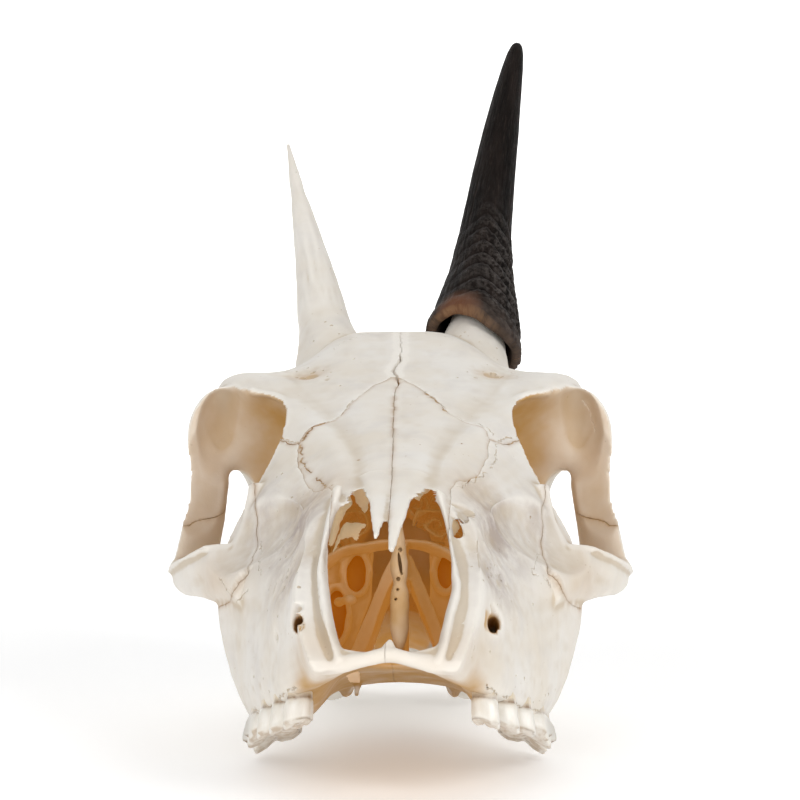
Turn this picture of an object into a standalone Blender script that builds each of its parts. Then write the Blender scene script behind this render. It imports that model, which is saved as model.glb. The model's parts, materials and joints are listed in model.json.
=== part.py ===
"""A common duiker's skull at life size, without its lower jaw and its two incisive bones.

The skull is modelled in its own frame, in millimetres: X to the animal's left, Y towards the back of
the head, Z up from the biting plane of the cheek teeth. An empty then tips it back onto what it rests
on, the rearmost cheek teeth and the two paroccipital processes, with the nose towards -Y.
The left horn keeps its sheath, and the right one is a bare core.
"""

import math
from collections import namedtuple

import bmesh
import bpy
import numpy as np
from mathutils import Euler, Matrix, Vector

MM = 0.001
SIDES = {"right": -1, "left": 1}

# How it lies: the tilt and the height that bring the last cheek teeth and the two paroccipital
# processes down to one level, and the shift that centres the whole over the origin
PITCH = 14.0
LIFT = 3.1
SHIFT = -40.75

# Driving sizes
GAP = 0.3
BONE_VOXEL = 0.75
BONE_TRIANGLES = 7600
SMOOTHING_STEPS = 5

ORBIT_CENTRE = Vector((30.5, 16.5, 49.8))
ORBIT_RADII = (18.0, 15.8, 16.6)
ORBIT_TURN = 27.0

# Each horn's foot and the way it points, given for the left side of the head
Horn = namedtuple("Horn", "foot direction")
HORNS = {
    "right": Horn(Vector((12.8, 52.0, 78.0)), Vector((0.159, 0.53, 0.84)).normalized()),
    "left": Horn(Vector((13.5, 52.0, 78.0)), Vector((0.118, 0.53, 0.84)).normalized()),
}
PEDICLE_TOP = 8.0
CORE_LENGTH = 61.5
CORE_RADIUS = 5.9
SHEATH_LENGTH = 92.0
SHEATH_CLEARANCE = 0.45
SHEATH_RADII = [(0, 9.0), (7, 8.9), (12, 8.3), (23, 6.2), (34, 5.1), (49, 4.4), (64, 3.7), (80, 2.6), (92, 0.9)]
RIDGE_PITCH = 4.3
RIDGE_HEIGHT = 0.35
RIDGED_LENGTH = 44.0

TOOTH_ROW_FRONT = -39.0
ROOT_TOP = 10.8
NASAL_THICKNESS = 3.0

# One station of the face: the height of the midline roof, the flat of the roof and how far its edge
# drops, then the waist, the cheek and the gum down the side, the palate's edge and its vault
Station = namedtuple("Station", "y roof flat drop waist_x waist_z cheek_x cheek_z gum_x gum_z palate_x vault")
FACE = [
    Station(-66, 19.0, 6.5, 1.5, 11.5, 16.5, 12.3, 13.5, 11.0, 8.5, 7.5, 9.0),
    Station(-56, 25.0, 8.0, 1.5, 12.8, 21.0, 13.8, 16.0, 11.8, 7.6, 8.5, 9.0),
    Station(-46, 31.0, 9.0, 1.5, 13.6, 26.5, 15.5, 18.5, 13.2, 7.6, 9.5, 10.0),
    Station(-38, 36.0, 9.5, 1.5, 14.8, 31.0, 17.4, 18.5, 17.2, 6.8, 12.4, 11.0),
    Station(-28, 42.0, 9.6, 1.8, 16.2, 36.0, 20.0, 20.0, 20.0, 6.2, 13.5, 12.0),
    Station(-16, 48.5, 10.5, 2.0, 18.5, 40.0, 24.8, 22.5, 23.4, 5.4, 14.5, 12.5),
    Station(-6, 54.0, 13.5, 2.4, 22.3, 43.0, 29.2, 25.5, 25.0, 5.4, 15.5, 13.0),
    Station(3, 59.0, 17.5, 2.6, 25.5, 46.0, 31.6, 26.5, 25.9, 6.8, 16.0, 13.0),
    Station(11, 63.6, 22.0, 2.6, 28.0, 50.0, 31.0, 29.0, 25.0, 8.6, 16.5, 13.0),
    Station(19, 68.3, 27.5, 2.6, 30.5, 55.0, 29.0, 33.0, 20.0, 15.0, 15.0, 15.0),
    Station(27, 73.2, 31.5, 3.4, 33.0, 58.0, 27.5, 36.0, 16.0, 20.0, 12.0, 19.0),
    Station(35, 78.4, 32.5, 7.6, 31.5, 60.0, 25.0, 40.0, 15.0, 24.0, 11.0, 23.0),
    Station(44, 82.6, 29.0, 11.5, 28.5, 60.0, 25.0, 42.0, 15.0, 26.0, 10.0, 25.0),
    Station(52, 82.9, 25.0, 12.0, 27.0, 60.0, 25.0, 44.0, 15.0, 26.0, 10.0, 25.0),
]

# One station of a rounded loft: its half width, its lowest and its highest point
Round = namedtuple("Round", "y half bottom top")
BRAINCASE = [
    Round(40, 24.0, 26.0, 79.0),
    Round(48, 26.5, 25.0, 82.5),
    Round(54, 27.5, 24.5, 81.0),
    Round(61, 28.0, 24.5, 77.0),
    Round(70, 28.0, 24.0, 71.0),
    Round(78, 26.5, 23.5, 64.0),
    Round(86, 23.5, 23.5, 56.0),
    Round(92, 19.0, 25.0, 49.5),
    Round(96, 12.0, 28.0, 43.5),
]
NASAL_CAVITY = [
    Round(-70, 9.5, 10.5, 24.0),
    Round(-56, 11.0, 10.5, 25.0),
    Round(-46, 12.3, 11.3, 30.5),
    Round(-38, 13.0, 12.0, 35.5),
    Round(-31, 13.6, 12.6, 39.7),
    Round(-23, 14.2, 13.0, 43.2),
    Round(-12, 14.5, 14.0, 47.5),
    Round(0, 13.5, 15.0, 50.5),
    Round(8, 11.0, 17.0, 49.0),
    Round(14, 7.0, 20.0, 43.0),
]

# The front edge of the two maxillae in side view, where the incisive bones have come away
APERTURE_EDGE = [(-58.5, 3), (-58, 9), (-55, 13), (-49, 19.5), (-42, 27.5), (-35, 35), (-31, 42), (-31, 60)]

# How far the midline suture strays from the middle, and how far the snout itself bends to the right,
# both as (y, x)
MIDLINE = [(-66, 0), (-48, -0.2), (-32, -0.4), (-12, -0.9), (0, -1.1), (20, -0.9), (45, -0.1), (70, 0.0)]
SNOUT_BEND = [(-66, -2.5), (-52, -2.1), (-40, -1.5), (-26, -0.8), (-12, -0.3), (4, 0.0)]

# Sutures in side view, as (y, z), the jugal's seen from the front as (x, z), and the half width of the
# two nasal bones together as (y, x)
CORONAL_SUTURE = [(68, 96), (62, 76), (46, 48), (38, 26), (33, -5)]
BROW_SUTURE = [(-14, 68), (2, 55.5), (10, 50.5), (50, 48)]
JUGAL_SUTURE = [(25.2, 50.5), (24.3, 36), (25.2, 28.5), (28.5, 25), (60, 22)]
NASAL_HALF_WIDTH = [(-62, 9.4), (-20, 9.5), (-9, 12), (1, 16.3), (6, 12.7), (11, 8.1), (16, 4.5), (20, 0.8)]

# A point on each bone's surface, by which the parted pieces are told apart, given for the left side
BONE_POINTS = {
    "braincase": (0, 88, 54),
    "frontal": (14, 30, 74),
    "nasal": (6, -12, 51),
    "maxilla": (20, -28, 16),
    "zygomatic": (39, 20, 33),
}

# One cheek tooth: its length along the row, its middle across, its width and its lobes on the inner side
Tooth = namedtuple("Tooth", "name length middle width lobes")
TEETH = [
    Tooth("P2", 7.0, 15.0, 4.8, 1),
    Tooth("P3", 7.8, 17.2, 6.4, 1),
    Tooth("P4", 7.8, 19.2, 7.8, 1),
    Tooth("M1", 9.6, 20.8, 9.2, 2),
    Tooth("M2", 10.8, 21.4, 9.8, 2),
    Tooth("M3", 10.6, 21.2, 9.0, 2),
]

# A crown from the root down to the chewing face: height above the biting plane, and scale of the section
CROWN = [(ROOT_TOP, 0.80), (7.0, 0.88), (0.8, 1.0), (0.0, 0.90), (1.0, 0.45)]

BONE_COLOURS = {
    "braincase": (0.74, 0.70, 0.60),
    "frontal": (0.80, 0.76, 0.67),
    "nasal": (0.77, 0.72, 0.62),
    "maxilla": (0.82, 0.79, 0.71),
    "zygomatic": (0.76, 0.72, 0.63),
    "horn_core": (0.72, 0.67, 0.56),
    "vomer": (0.78, 0.62, 0.38),
    "ethmoid": (0.62, 0.44, 0.22),
}
SHEATH_COLOUR = (0.035, 0.030, 0.027)


def collection(name, parent=None):
    """A new collection, linked into the scene."""
    made = bpy.data.collections.new(name)
    (parent or bpy.context.scene.collection).children.link(made)
    return made


def add_object(name, mesh, home):
    """An object that shows this mesh, in this collection."""
    made = bpy.data.objects.new(name, mesh)
    home.objects.link(made)
    return made


def finish_bmesh(name, bm, home):
    """Turns a bmesh in metres into an object with its faces pointing out."""
    bmesh.ops.recalc_face_normals(bm, faces=bm.faces)
    mesh = bpy.data.meshes.new(name)
    bm.to_mesh(mesh)
    bm.free()
    return add_object(name, mesh, home)


def evaluated_mesh(obj):
    """The object's mesh with its modifiers applied."""
    graph = bpy.context.evaluated_depsgraph_get()
    return bpy.data.meshes.new_from_object(obj.evaluated_get(graph))


def empty_out(home):
    """Removes every object of a collection of helpers, and the collection."""
    for obj in list(home.objects):
        bpy.data.objects.remove(obj)
    bpy.data.collections.remove(home)


def through(rows, count, closed=False):
    """Points evenly spaced along a smooth curve that passes through every row (Catmull-Rom)."""
    rows = np.asarray(rows, float)
    n = len(rows)
    spans = n if closed else n - 1
    where = np.linspace(0, spans, count, endpoint=not closed)
    start = np.minimum(where.astype(int), spans - 1)
    t = (where - start)[:, None]

    def row(i):
        return rows[i % n] if closed else rows[np.clip(i, 0, n - 1)]

    before, here, there, after = row(start - 1), row(start), row(start + 1), row(start + 2)
    return 0.5 * (
        2 * here
        + (there - before) * t
        + (2 * before - 5 * here + 4 * there - after) * t**2
        + (3 * here - before - 3 * there + after) * t**3
    )


def loft(name, rings, home):
    """A closed body through rings of points in millimetres, with a fan on each end."""
    bm = bmesh.new()
    rows = [[bm.verts.new(Vector(p) * MM) for p in ring] for ring in rings]
    count = len(rows[0])
    for low, high in zip(rows, rows[1:]):
        for i in range(count):
            j = (i + 1) % count
            bm.faces.new((low[i], low[j], high[j], high[i]))
    for row in (rows[0], rows[-1]):
        middle = bm.verts.new(sum((v.co for v in row), Vector()) / count)
        for i in range(count):
            bm.faces.new((row[i], row[(i + 1) % count], middle))
    return finish_bmesh(name, bm, home)


def round_ring(station, fullness, count=32):
    """A superellipse across the skull at one station. More fullness makes it squarer."""
    middle = (station.top + station.bottom) / 2
    rise = (station.top - station.bottom) / 2
    ring = []
    for i in range(count):
        angle = 2 * math.pi * i / count
        c, s = math.cos(angle), math.sin(angle)
        x = station.half * math.copysign(abs(c) ** (2 / fullness), c)
        z = middle + rise * math.copysign(abs(s) ** (2 / fullness), s)
        ring.append((x, station.y, z))
    return ring


def round_loft(name, stations, home, fullness=2.3, rings=24):
    """A loft through rounded stations."""
    return loft(name, [round_ring(Round(*row), fullness) for row in through(stations, rings)], home)


def face_ring(station, count=48):
    """The outline of the face at one station, from the roof round the side to the palate and back."""
    s = station
    half = [
        (0, s.roof),
        (0.35 * s.flat, s.roof - 0.08 * s.drop),
        (0.62 * s.flat, s.roof - 0.62 * s.drop),
        (s.flat, s.roof - s.drop),
        (s.waist_x, s.waist_z),
        (s.cheek_x, s.cheek_z),
        (s.gum_x, s.gum_z),
        (s.palate_x, s.gum_z - 0.3),
        (0.6 * s.palate_x, s.vault - 0.5),
        (0, s.vault),
    ]
    outline = half + [(-x, z) for x, z in half[-2:0:-1]]
    return [(x, s.y, z) for x, z in through(outline, count, closed=True)]


def strut(name, path, wide, thin, across, home, rings=14, count=12):
    """A bar of elliptical section along a smooth path. wide and thin are its half sizes at each point of
    the path, and across is the direction in which it is wide."""
    rows = through([(*p, w, t) for p, w, t in zip(path, wide, thin)], rings)
    across = Vector(across).normalized()
    outline = []
    for i, (x, y, z, w, t) in enumerate(rows):
        ahead = Vector(rows[min(i + 1, rings - 1)][:3]) - Vector(rows[max(i - 1, 0)][:3])
        ahead.normalize()
        broad = (across - ahead * across.dot(ahead)).normalized()
        narrow = ahead.cross(broad)
        ring = []
        for k in range(count):
            angle = 2 * math.pi * k / count
            ring.append(Vector((x, y, z)) + broad * (w * math.cos(angle)) + narrow * (t * math.sin(angle)))
        outline.append(ring)
    return loft(name, outline, home)


def blob(name, centre, radii, home, turn=(0, 0, 0)):
    """An ellipsoid, turned by these angles in degrees."""
    bm = bmesh.new()
    bmesh.ops.create_uvsphere(bm, u_segments=28, v_segments=16, radius=1)
    spin = Euler([math.radians(a) for a in turn]).to_matrix()
    for v in bm.verts:
        local = Vector(c * r for c, r in zip(v.co, radii))
        v.co = (spin @ local + Vector(centre)) * MM
    return finish_bmesh(name, bm, home)


def prism(name, outline, axis, low, high, home):
    """An outline in millimetres, extruded along X or Y between two places on that axis."""
    bm = bmesh.new()
    ends = []
    for depth in (low, high):
        if axis == "X":
            ends.append([bm.verts.new(Vector((depth, u, v)) * MM) for u, v in outline])
        else:
            ends.append([bm.verts.new(Vector((u, depth, v)) * MM) for u, v in outline])
    bm.faces.new(ends[0])
    bm.faces.new(reversed(ends[1]))
    for i in range(len(outline)):
        j = (i + 1) % len(outline)
        bm.faces.new((ends[0][i], ends[0][j], ends[1][j], ends[1][i]))
    bmesh.ops.recalc_face_normals(bm, faces=bm.faces)
    bmesh.ops.triangulate(bm, faces=[f for f in bm.faces if len(f.verts) > 4])
    return finish_bmesh(name, bm, home)


def band(line, width):
    """The outline of a band of this width along a line."""
    points = np.asarray(line, float)
    steps = np.diff(points, axis=0)
    steps /= np.linalg.norm(steps, axis=1)[:, None]
    ahead = np.vstack([steps, steps[-1:]])
    behind = np.vstack([steps[:1], steps])
    along = ahead + behind
    along /= np.linalg.norm(along, axis=1)[:, None]
    stretch = 1 / np.clip((along * ahead).sum(1), 0.5, 1)
    side = np.stack([-along[:, 1], along[:, 0]], axis=1) * (stretch * width / 2)[:, None]
    return [tuple(p) for p in np.vstack([points + side, (points - side)[::-1]])]


def along_table(table, where):
    """The value of a two-column table at this place, between its rows in proportion."""
    places, values = zip(*table)
    return float(np.interp(where, places, values))


def mirrored(points, side):
    """The points for one side of the head, given for its left side."""
    return [(side * x, y, z) for x, y, z in points]


def both_sides(make, home):
    """Calls make for each side of the head with its name, its sign and the collection."""
    for name, sign in SIDES.items():
        make(name, sign, home)


def horn_line(side_name):
    """The foot of one horn and its direction, on its own side of the head."""
    horn = HORNS[side_name]
    flip = Vector((SIDES[side_name], 1, 1))
    return horn.foot * flip, horn.direction * flip


def add_cheek(side_name, side, home):
    """The jugal and the arch that runs back from it, with the rim of the orbit along its top."""
    arch = [
        (24, -12, 26), (29, -2, 29.5), (34.5, 10, 31.5), (38.2, 20, 32.5),
        (39.4, 29, 33.8), (38.4, 41, 35.8), (34.0, 52, 38), (26, 60, 40),
    ]
    heights = (4.5, 5.0, 4.6, 4.0, 3.8, 3.2, 3.2, 4.0)
    depths = (3.5, 3.5, 3.0, 2.0, 1.8, 1.7, 2.0, 5.0)
    strut(f"arch_{side_name}", mirrored(arch, side), heights, depths, (0.2 * side, 0, 1), home, rings=22)
    rim = [(24.3, 0, 46), (25.3, -0.5, 40), (27.5, 1, 35.5), (32, 7, 33.8), (37, 16, 34.5), (40, 26, 35.5)]
    strut(f"rim_{side_name}", mirrored(rim, side), [1.7] * 6, [1.3] * 6, (side, 0, 0), home)


def add_postorbital_bar(side_name, side, home):
    """The flat bar behind the eye, from the brow down to the jugal."""
    bar = [
        (30.5, 27, 69.0), (33.6, 28, 66.0), (35.2, 29, 61), (35.4, 29.5, 54),
        (35.8, 29, 46), (36.6, 28.5, 39), (37.8, 27, 34),
    ]
    wide = (4.0, 5.0, 5.4, 5.0, 4.8, 4.8, 4.4)
    thin = (2.0, 2.2, 2.0, 1.7, 1.6, 1.7, 1.9)
    strut(f"bar_{side_name}", mirrored(bar, side), wide, thin, (-side, 1, 0), home, rings=20)


def add_pedicle(side_name, side, home):
    """The foot on the frontal bone from which the horn core grows."""
    foot, direction = horn_line(side_name)
    path = [tuple(foot + direction * along) for along in (-16, -9, -3, 2, PEDICLE_TOP + 2)]
    radii = (12.0, 9.8, 8.0, 6.7, 4.9)
    strut(f"pedicle_{side_name}", path, radii, radii, (1, 0, 0), home, count=20)


def add_skull_base(side_name, side, home):
    """What hangs below the braincase on one side, and the condyle at its back."""
    blob(f"condyle_{side_name}", (side * 8.2, 94.0, 31.5), (5.0, 5.5, 7.5), home, (20, 0, side * 15))
    blob(f"bulla_{side_name}", (side * 13.0, 70.5, 22.5), (5.5, 9.5, 6.5), home, (0, 0, -side * 12))
    blob(f"glenoid_{side_name}", (side * 24.0, 58.0, 37.0), (8.0, 6.5, 4.0), home)
    process = [(18.5, 86, 38), (19.8, 85, 29), (20.4, 83.5, 21), (20.2, 82.5, 14.5)]
    strut(
        f"paroccipital_{side_name}", mirrored(process, side), (5.0, 4.4, 3.2, 1.9), (3.4, 2.6, 2.0, 1.5),
        (0, 1, 0), home,
    )
    ear = [(19, 71, 33), (24.5, 72, 35.5), (28.5, 73, 38)]
    strut(f"ear_{side_name}", mirrored(ear, side), (4.2, 3.6, 3.0), (4.2, 3.6, 3.0), (0, 1, 0), home)
    plate = [(9.8, 12, 15), (9.4, 22, 16.5), (8.9, 32, 19.5), (8.4, 42, 22.5)]
    strut(f"pterygoid_{side_name}", mirrored(plate, side), (7.0, 8.5, 7.0, 4.0), [1.2] * 4, (0, 0, 1), home)


def add_crest(home):
    """The nuchal crest, an arch across the back of the braincase."""
    half = [(24.3, 79.5, 43), (20, 84, 49.6), (11, 87, 53.6), (0, 88, 54.8)]
    arch = half + mirrored(half[-2::-1], -1)
    strut("nuchal_crest", arch, [2.2] * len(arch), [1.5] * len(arch), (0, 1, 0.6), home, rings=24)


def cut_orbit(side_name, side, home):
    """The eye socket, the temporal fossa behind it and the way between them."""
    centre = (side * ORBIT_CENTRE.x, ORBIT_CENTRE.y, ORBIT_CENTRE.z)
    blob(f"orbit_{side_name}", centre, ORBIT_RADII, home, (0, 0, -side * ORBIT_TURN))
    blob(f"temporal_{side_name}", (side * 38.0, 52.0, 56.5), (11.5, 18.0, 15.5), home)
    blob(f"window_{side_name}", (side * 29.5, 35.0, 44.0), (4.4, 12.0, 10.5), home)


def cut_face(side_name, side, home):
    """The hollow in front of the eye and the infraorbital foramen."""
    blob(f"fossa_{side_name}", (side * 35.5, -20.0, 40.0), (18.0, 24.0, 14.0), home, (0, 0, -side * 14))
    blob(f"foramen_{side_name}", (side * 16.4, -37.5, 16.8), (1.6, 8.0, 2.2), home)


def cut_middle(home):
    """The nasal cavity with its aperture, the way out behind the palate, and the foramen magnum."""
    round_loft("nasal_cavity", NASAL_CAVITY, home, fullness=2.8)
    front = APERTURE_EDGE + [(-80, 60), (-80, 3)]
    prism("aperture", front, "X", -30, 30, home)
    channel = [(0, 2, 23), (0, 14, 20.5), (0, 26, 17.0), (0, 40, 13.0)]
    strut("choanae", channel, (8.0, 7.6, 7.2, 6.5), (6.0, 5.4, 5.5, 6.0), (1, 0, 0), home, count=16)
    blob("foramen_magnum", (0, 98.0, 36.0), (7.2, 16.0, 6.4), home)


def add_nasal_tips(home):
    """The free ends of the two nasal bones, which reach out over the aperture."""
    right = [(-2.8, -23, 43.6), (-2.2, -31, 39.4), (-1.9, -38, 35.0), (-1.8, -46, 29.6)]
    left = [(2.0, -23, 43.6), (1.0, -31, 39.4), (0.7, -39, 34.4), (0.3, -48, 27.2)]
    strut("nasal_tip_right", right, (3.5, 1.9, 1.4, 0.8), (1.2, 1.1, 1.0, 0.8), (1, 0, 0), home)
    strut("nasal_tip_left", left, (3.5, 1.8, 1.4, 0.8), (1.2, 1.1, 1.0, 0.8), (1, 0, 0), home)


def boolean(obj, operation, operands):
    """Adds a Boolean with every object of a collection. The bodies are all closed, and only the Manifold
    solver keeps them so where a thin slab grazes a facet."""
    step = obj.modifiers.new(operation.title(), "BOOLEAN")
    step.operation = operation
    step.operand_type = "COLLECTION"
    step.collection = operands
    step.solver = "MANIFOLD"


def apply_all(obj):
    """Applies the object's modifiers to its mesh."""
    made = evaluated_mesh(obj)
    obj.modifiers.clear()
    obj.data = made


def blend(obj, voxel, steps, triangles):
    """Flows the joined masses of an object into one skin and reduces it to about this many triangles."""
    skin = obj.modifiers.new("Skin", "REMESH")
    skin.mode = "VOXEL"
    skin.voxel_size = voxel * MM
    soften = obj.modifiers.new("Soften", "SMOOTH")
    soften.factor = 0.5
    soften.iterations = steps
    apply_all(obj)
    now = sum(len(p.vertices) - 2 for p in obj.data.polygons)
    fewer = obj.modifiers.new("Fewer", "DECIMATE")
    fewer.ratio = min(1.0, triangles / now)
    apply_all(obj)


def make_whole_skull(home):
    """The bony skull as one closed body, before it is parted at its sutures."""
    masses = collection("bone_masses")
    hollows = collection("bone_hollows")
    plates = collection("bone_plates")
    skull = loft("whole_skull", [face_ring(Station(*row)) for row in through(FACE, 46)], home)
    round_loft("braincase_mass", BRAINCASE, masses)
    both_sides(add_cheek, masses)
    both_sides(add_pedicle, masses)
    both_sides(add_skull_base, masses)
    add_crest(masses)
    both_sides(cut_orbit, hollows)
    both_sides(cut_face, hollows)
    cut_middle(hollows)
    both_sides(add_postorbital_bar, plates)
    add_nasal_tips(plates)
    boolean(skull, "UNION", masses)
    boolean(skull, "DIFFERENCE", hollows)
    boolean(skull, "UNION", plates)
    apply_all(skull)
    for helpers in (masses, hollows, plates):
        empty_out(helpers)
    blend(skull, BONE_VOXEL, SMOOTHING_STEPS, BONE_TRIANGLES)
    return skull


def nasal_block(name, home):
    """The block of the roof that the two nasal bones take, with its arched underside."""
    rings = []
    for y in np.linspace(-60, 20, 41):
        half = along_table(NASAL_HALF_WIDTH, y)
        middle = along_table(MIDLINE, y)
        roof = float(np.interp(y, [s.y for s in FACE], [s.roof for s in FACE]))
        below = roof - NASAL_THICKNESS
        under = [(middle + u * half, y, below - 2.2 * (u * half / 16) ** 2) for u in (-1, -0.5, 0, 0.5, 1)]
        above = [(middle + half, y, roof + 12), (middle - half, y, roof + 12)]
        rings.append(under + above)
    return loft(name, rings, home)


def cut_round_nasals(home):
    """The thin gaps round the two nasal bones and down the middle of the face."""
    shell = nasal_block("nasal", home)
    wall = shell.modifiers.new("Wall", "SOLIDIFY")
    wall.thickness = GAP * MM
    wall.offset = 1
    apply_all(shell)
    edge = CORONAL_SUTURE + [(-90, -5), (-90, 96)]
    middle = prism("midline", edge, "X", -GAP / 2, GAP / 2, home)
    bm = bmesh.new()
    bm.from_mesh(middle.data)
    for y, _ in MIDLINE[1:-1]:
        everything = bm.verts[:] + bm.edges[:] + bm.faces[:]
        bmesh.ops.bisect_plane(bm, geom=everything, plane_co=(0, y * MM, 0), plane_no=(0, 1, 0))
    for v in bm.verts:
        v.co.x += along_table(MIDLINE, v.co.y / MM) * MM
    bm.to_mesh(middle.data)
    bm.free()


def cut_off_braincase(home):
    """The thin gaps behind the face, and at the ends of the two horns' feet."""
    prism("coronal", band(CORONAL_SUTURE, GAP), "X", -60, 60, home)
    for side_name in SIDES:
        foot, direction = horn_line(side_name)
        disc = [foot + direction * (PEDICLE_TOP + d) for d in (-GAP / 2, GAP / 2)]
        strut(f"horn_{side_name}", disc, (7.2, 7.2), (7.2, 7.2), (1, 0, 0), home, rings=2, count=24)


def cut_up_face(home):
    """The thin gaps between the frontals, the maxillae and the jugals."""
    prism("brow", band(BROW_SUTURE, GAP), "X", -60, 60, home)
    for side in SIDES.values():
        outline = [(side * x, z) for x, z in band(JUGAL_SUTURE, GAP)]
        prism("jugal", outline, "Y", -30, 60, home)


def closed_surfaces(mesh):
    """The mesh's separate closed surfaces, each as a new mesh, with their volumes in cubic millimetres."""
    whole = bmesh.new()
    whole.from_mesh(mesh)
    seen = set()
    groups = []
    for start in whole.verts:
        if start in seen:
            continue
        group = [start]
        seen.add(start)
        for v in group:
            for edge in v.link_edges:
                other = edge.other_vert(v)
                if other not in seen:
                    seen.add(other)
                    group.append(other)
        groups.append([v.index for v in group])
    whole.free()
    made = []
    for group in groups:
        wanted = set(group)
        piece = bmesh.new()
        piece.from_mesh(mesh)
        bmesh.ops.delete(piece, geom=[v for v in piece.verts if v.index not in wanted], context="VERTS")
        volume = piece.calc_volume(signed=True) / MM**3
        surface = bpy.data.meshes.new("piece")
        piece.to_mesh(surface)
        piece.free()
        made.append((volume, surface))
    return sorted(made, key=lambda entry: -entry[0])


def joined(meshes):
    """Several meshes as one."""
    bm = bmesh.new()
    for mesh in meshes:
        bm.from_mesh(mesh)
    made = bpy.data.meshes.new("joined")
    bm.to_mesh(made)
    bm.free()
    return made


def keep_largest(obj):
    """Keeps only the largest closed surface of an object."""
    obj.data = closed_surfaces(obj.data)[0][1]


def distance_to(mesh, point):
    """The distance in millimetres from a point to a mesh's nearest corner."""
    where = Vector(point) * MM
    return min((v.co - where).length for v in mesh.vertices) / MM


def cut_apart(obj, add_slabs):
    """Cuts an object with thin slabs and returns its closed pieces, the largest first."""
    slabs = collection("slabs")
    add_slabs(slabs)
    boolean(obj, "DIFFERENCE", slabs)
    apply_all(obj)
    empty_out(slabs)
    return [mesh for volume, mesh in closed_surfaces(obj.data) if volume > 20]


def part_bones(skull, home):
    """Parts the whole skull in three steps, and names each bone after the marked point it lies at."""
    steps = (
        (cut_round_nasals, ["nasal"]),
        (cut_off_braincase, ["braincase"]),
        (cut_up_face, ["frontal", "maxilla", "zygomatic"]),
    )
    bones = {}
    for add_slabs, wanted in steps:
        pieces = cut_apart(skull, add_slabs)
        for bone in wanted:
            for side_name, side in SIDES.items():
                name = bone if bone == "braincase" else f"{bone}_{side_name}"
                if name in bones:
                    continue
                place = mirrored([BONE_POINTS[bone]], side)[0]
                nearest = min(pieces, key=lambda mesh: distance_to(mesh, place))
                pieces.remove(nearest)
                bones[name] = add_object(name, nearest, home)
        skull.data = joined(pieces)
    return bones


def tooth_ring(tooth, front, side, scale, height):
    """The outline of one tooth at one height: styles on the cheek side, rounded lobes on the inner side."""
    count = 8 if tooth.lobes == 2 else 6
    ring = []
    for i in range(count + 1):
        u = i / count - 0.5
        style = 0.35 * math.cos(4 * math.pi * u) if tooth.lobes == 2 else 0.3 * math.cos(2 * math.pi * u)
        ring.append((tooth.width * (0.47 - 0.35 * u * u) + style, u * tooth.length))
    for i in range(1, count):
        u = 0.5 - i / count
        lobe = abs(math.sin(math.pi * tooth.lobes * (u + 0.5)))
        ring.append((-tooth.width * (0.22 + 0.28 * lobe), u * tooth.length * 0.97))
    middle = front + tooth.length / 2
    return [
        (side * (tooth.middle + x * scale), middle + y * scale, height)
        for x, y in ring
    ]


def tooth_row(side_name, home):
    """The six cheek teeth of one side, from the front to the back of the row."""
    side = SIDES[side_name]
    front = TOOTH_ROW_FRONT
    for tooth in TEETH:
        rings = [tooth_ring(tooth, front, side, scale, height) for height, scale in CROWN]
        loft(f"{tooth.name}_{side_name}", rings, home)
        front += tooth.length + 0.1


def add_teeth(maxilla, side_name):
    """Fuses one side's cheek teeth with the maxilla that they grow from."""
    row = collection("tooth_row")
    tooth_row(side_name, row)
    boolean(maxilla, "UNION", row)
    apply_all(maxilla)
    empty_out(row)
    keep_largest(maxilla)


def make_core(side_name, home):
    """The bony core of one horn, a plain cone from the top of its foot."""
    foot, direction = horn_line(side_name)
    start = PEDICLE_TOP + GAP / 2
    places = [start + (CORE_LENGTH - start) * u for u in (0, 0.25, 0.5, 0.75, 0.9, 1)]
    radii = [max(CORE_RADIUS * (1 - place / CORE_LENGTH), 0.35) for place in places]
    path = [tuple(foot + direction * place) for place in places]
    return strut(f"horn_core_{side_name}", path, radii, radii, (1, 0, 0), home, rings=8, count=18)


def rim_height(angle):
    """How far up the horn the sheath's rim stands, by the angle round it: 0 is the outer side of the head
    and a quarter turn is the front."""
    arch = max(0.0, math.cos(angle - math.radians(118))) ** 2
    inner = max(0.0, -math.cos(angle)) ** 4
    back = max(0.0, -math.sin(angle)) ** 2
    return 1.2 + 5.2 * arch + 3.4 * inner + 4.2 * back


def make_sheath(home, count=18, rows=42):
    """The horny sheath on the left core: a tapering tube with raised rings, closed at its tip."""
    foot, direction = horn_line("left")
    outward = (Vector((1, 0, 0)) - direction * direction.x).normalized()
    forward = outward.cross(direction)
    if forward.y > 0:
        forward = -forward
    places, sizes = zip(*SHEATH_RADII)

    def ring_at(share, inside):
        ring = []
        for k in range(count):
            angle = 2 * math.pi * k / count
            rim = rim_height(angle)
            if inside:
                top = CORE_LENGTH + 1.0
                place = rim + (top - rim) * share
                body = max(CORE_RADIUS * (1 - place / CORE_LENGTH), 0) + SHEATH_CLEARANCE
                flare = 1.6 * max(0, 1 - place / 8)
                radius = body + flare
            else:
                place = rim + (SHEATH_LENGTH - rim) * share
                slant = place + 2.2 * abs(math.cos(angle))
                wave = 0.5 + 0.5 * math.cos(2 * math.pi * slant / RIDGE_PITCH)
                fade = min(1, max(0, (RIDGED_LENGTH - place) / 8)) * min(1, (place - rim) / 2)
                keel = 0.5 * max(0, math.sin(angle)) ** 4 * min(1, max(0, (60 - place) / 30))
                radius = float(np.interp(place, places, sizes)) + RIDGE_HEIGHT * (2 * wave - 1) * fade + keel
            around = outward * math.cos(angle) + forward * math.sin(angle)
            ring.append(foot + direction * place + around * radius)
        return ring

    outer = [ring_at(i / rows, False) for i in range(rows + 1)]
    inner = [ring_at(i / 8, True) for i in range(9)]
    return loft("horn_sheath_left", inner[::-1] + outer, home)


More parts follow.
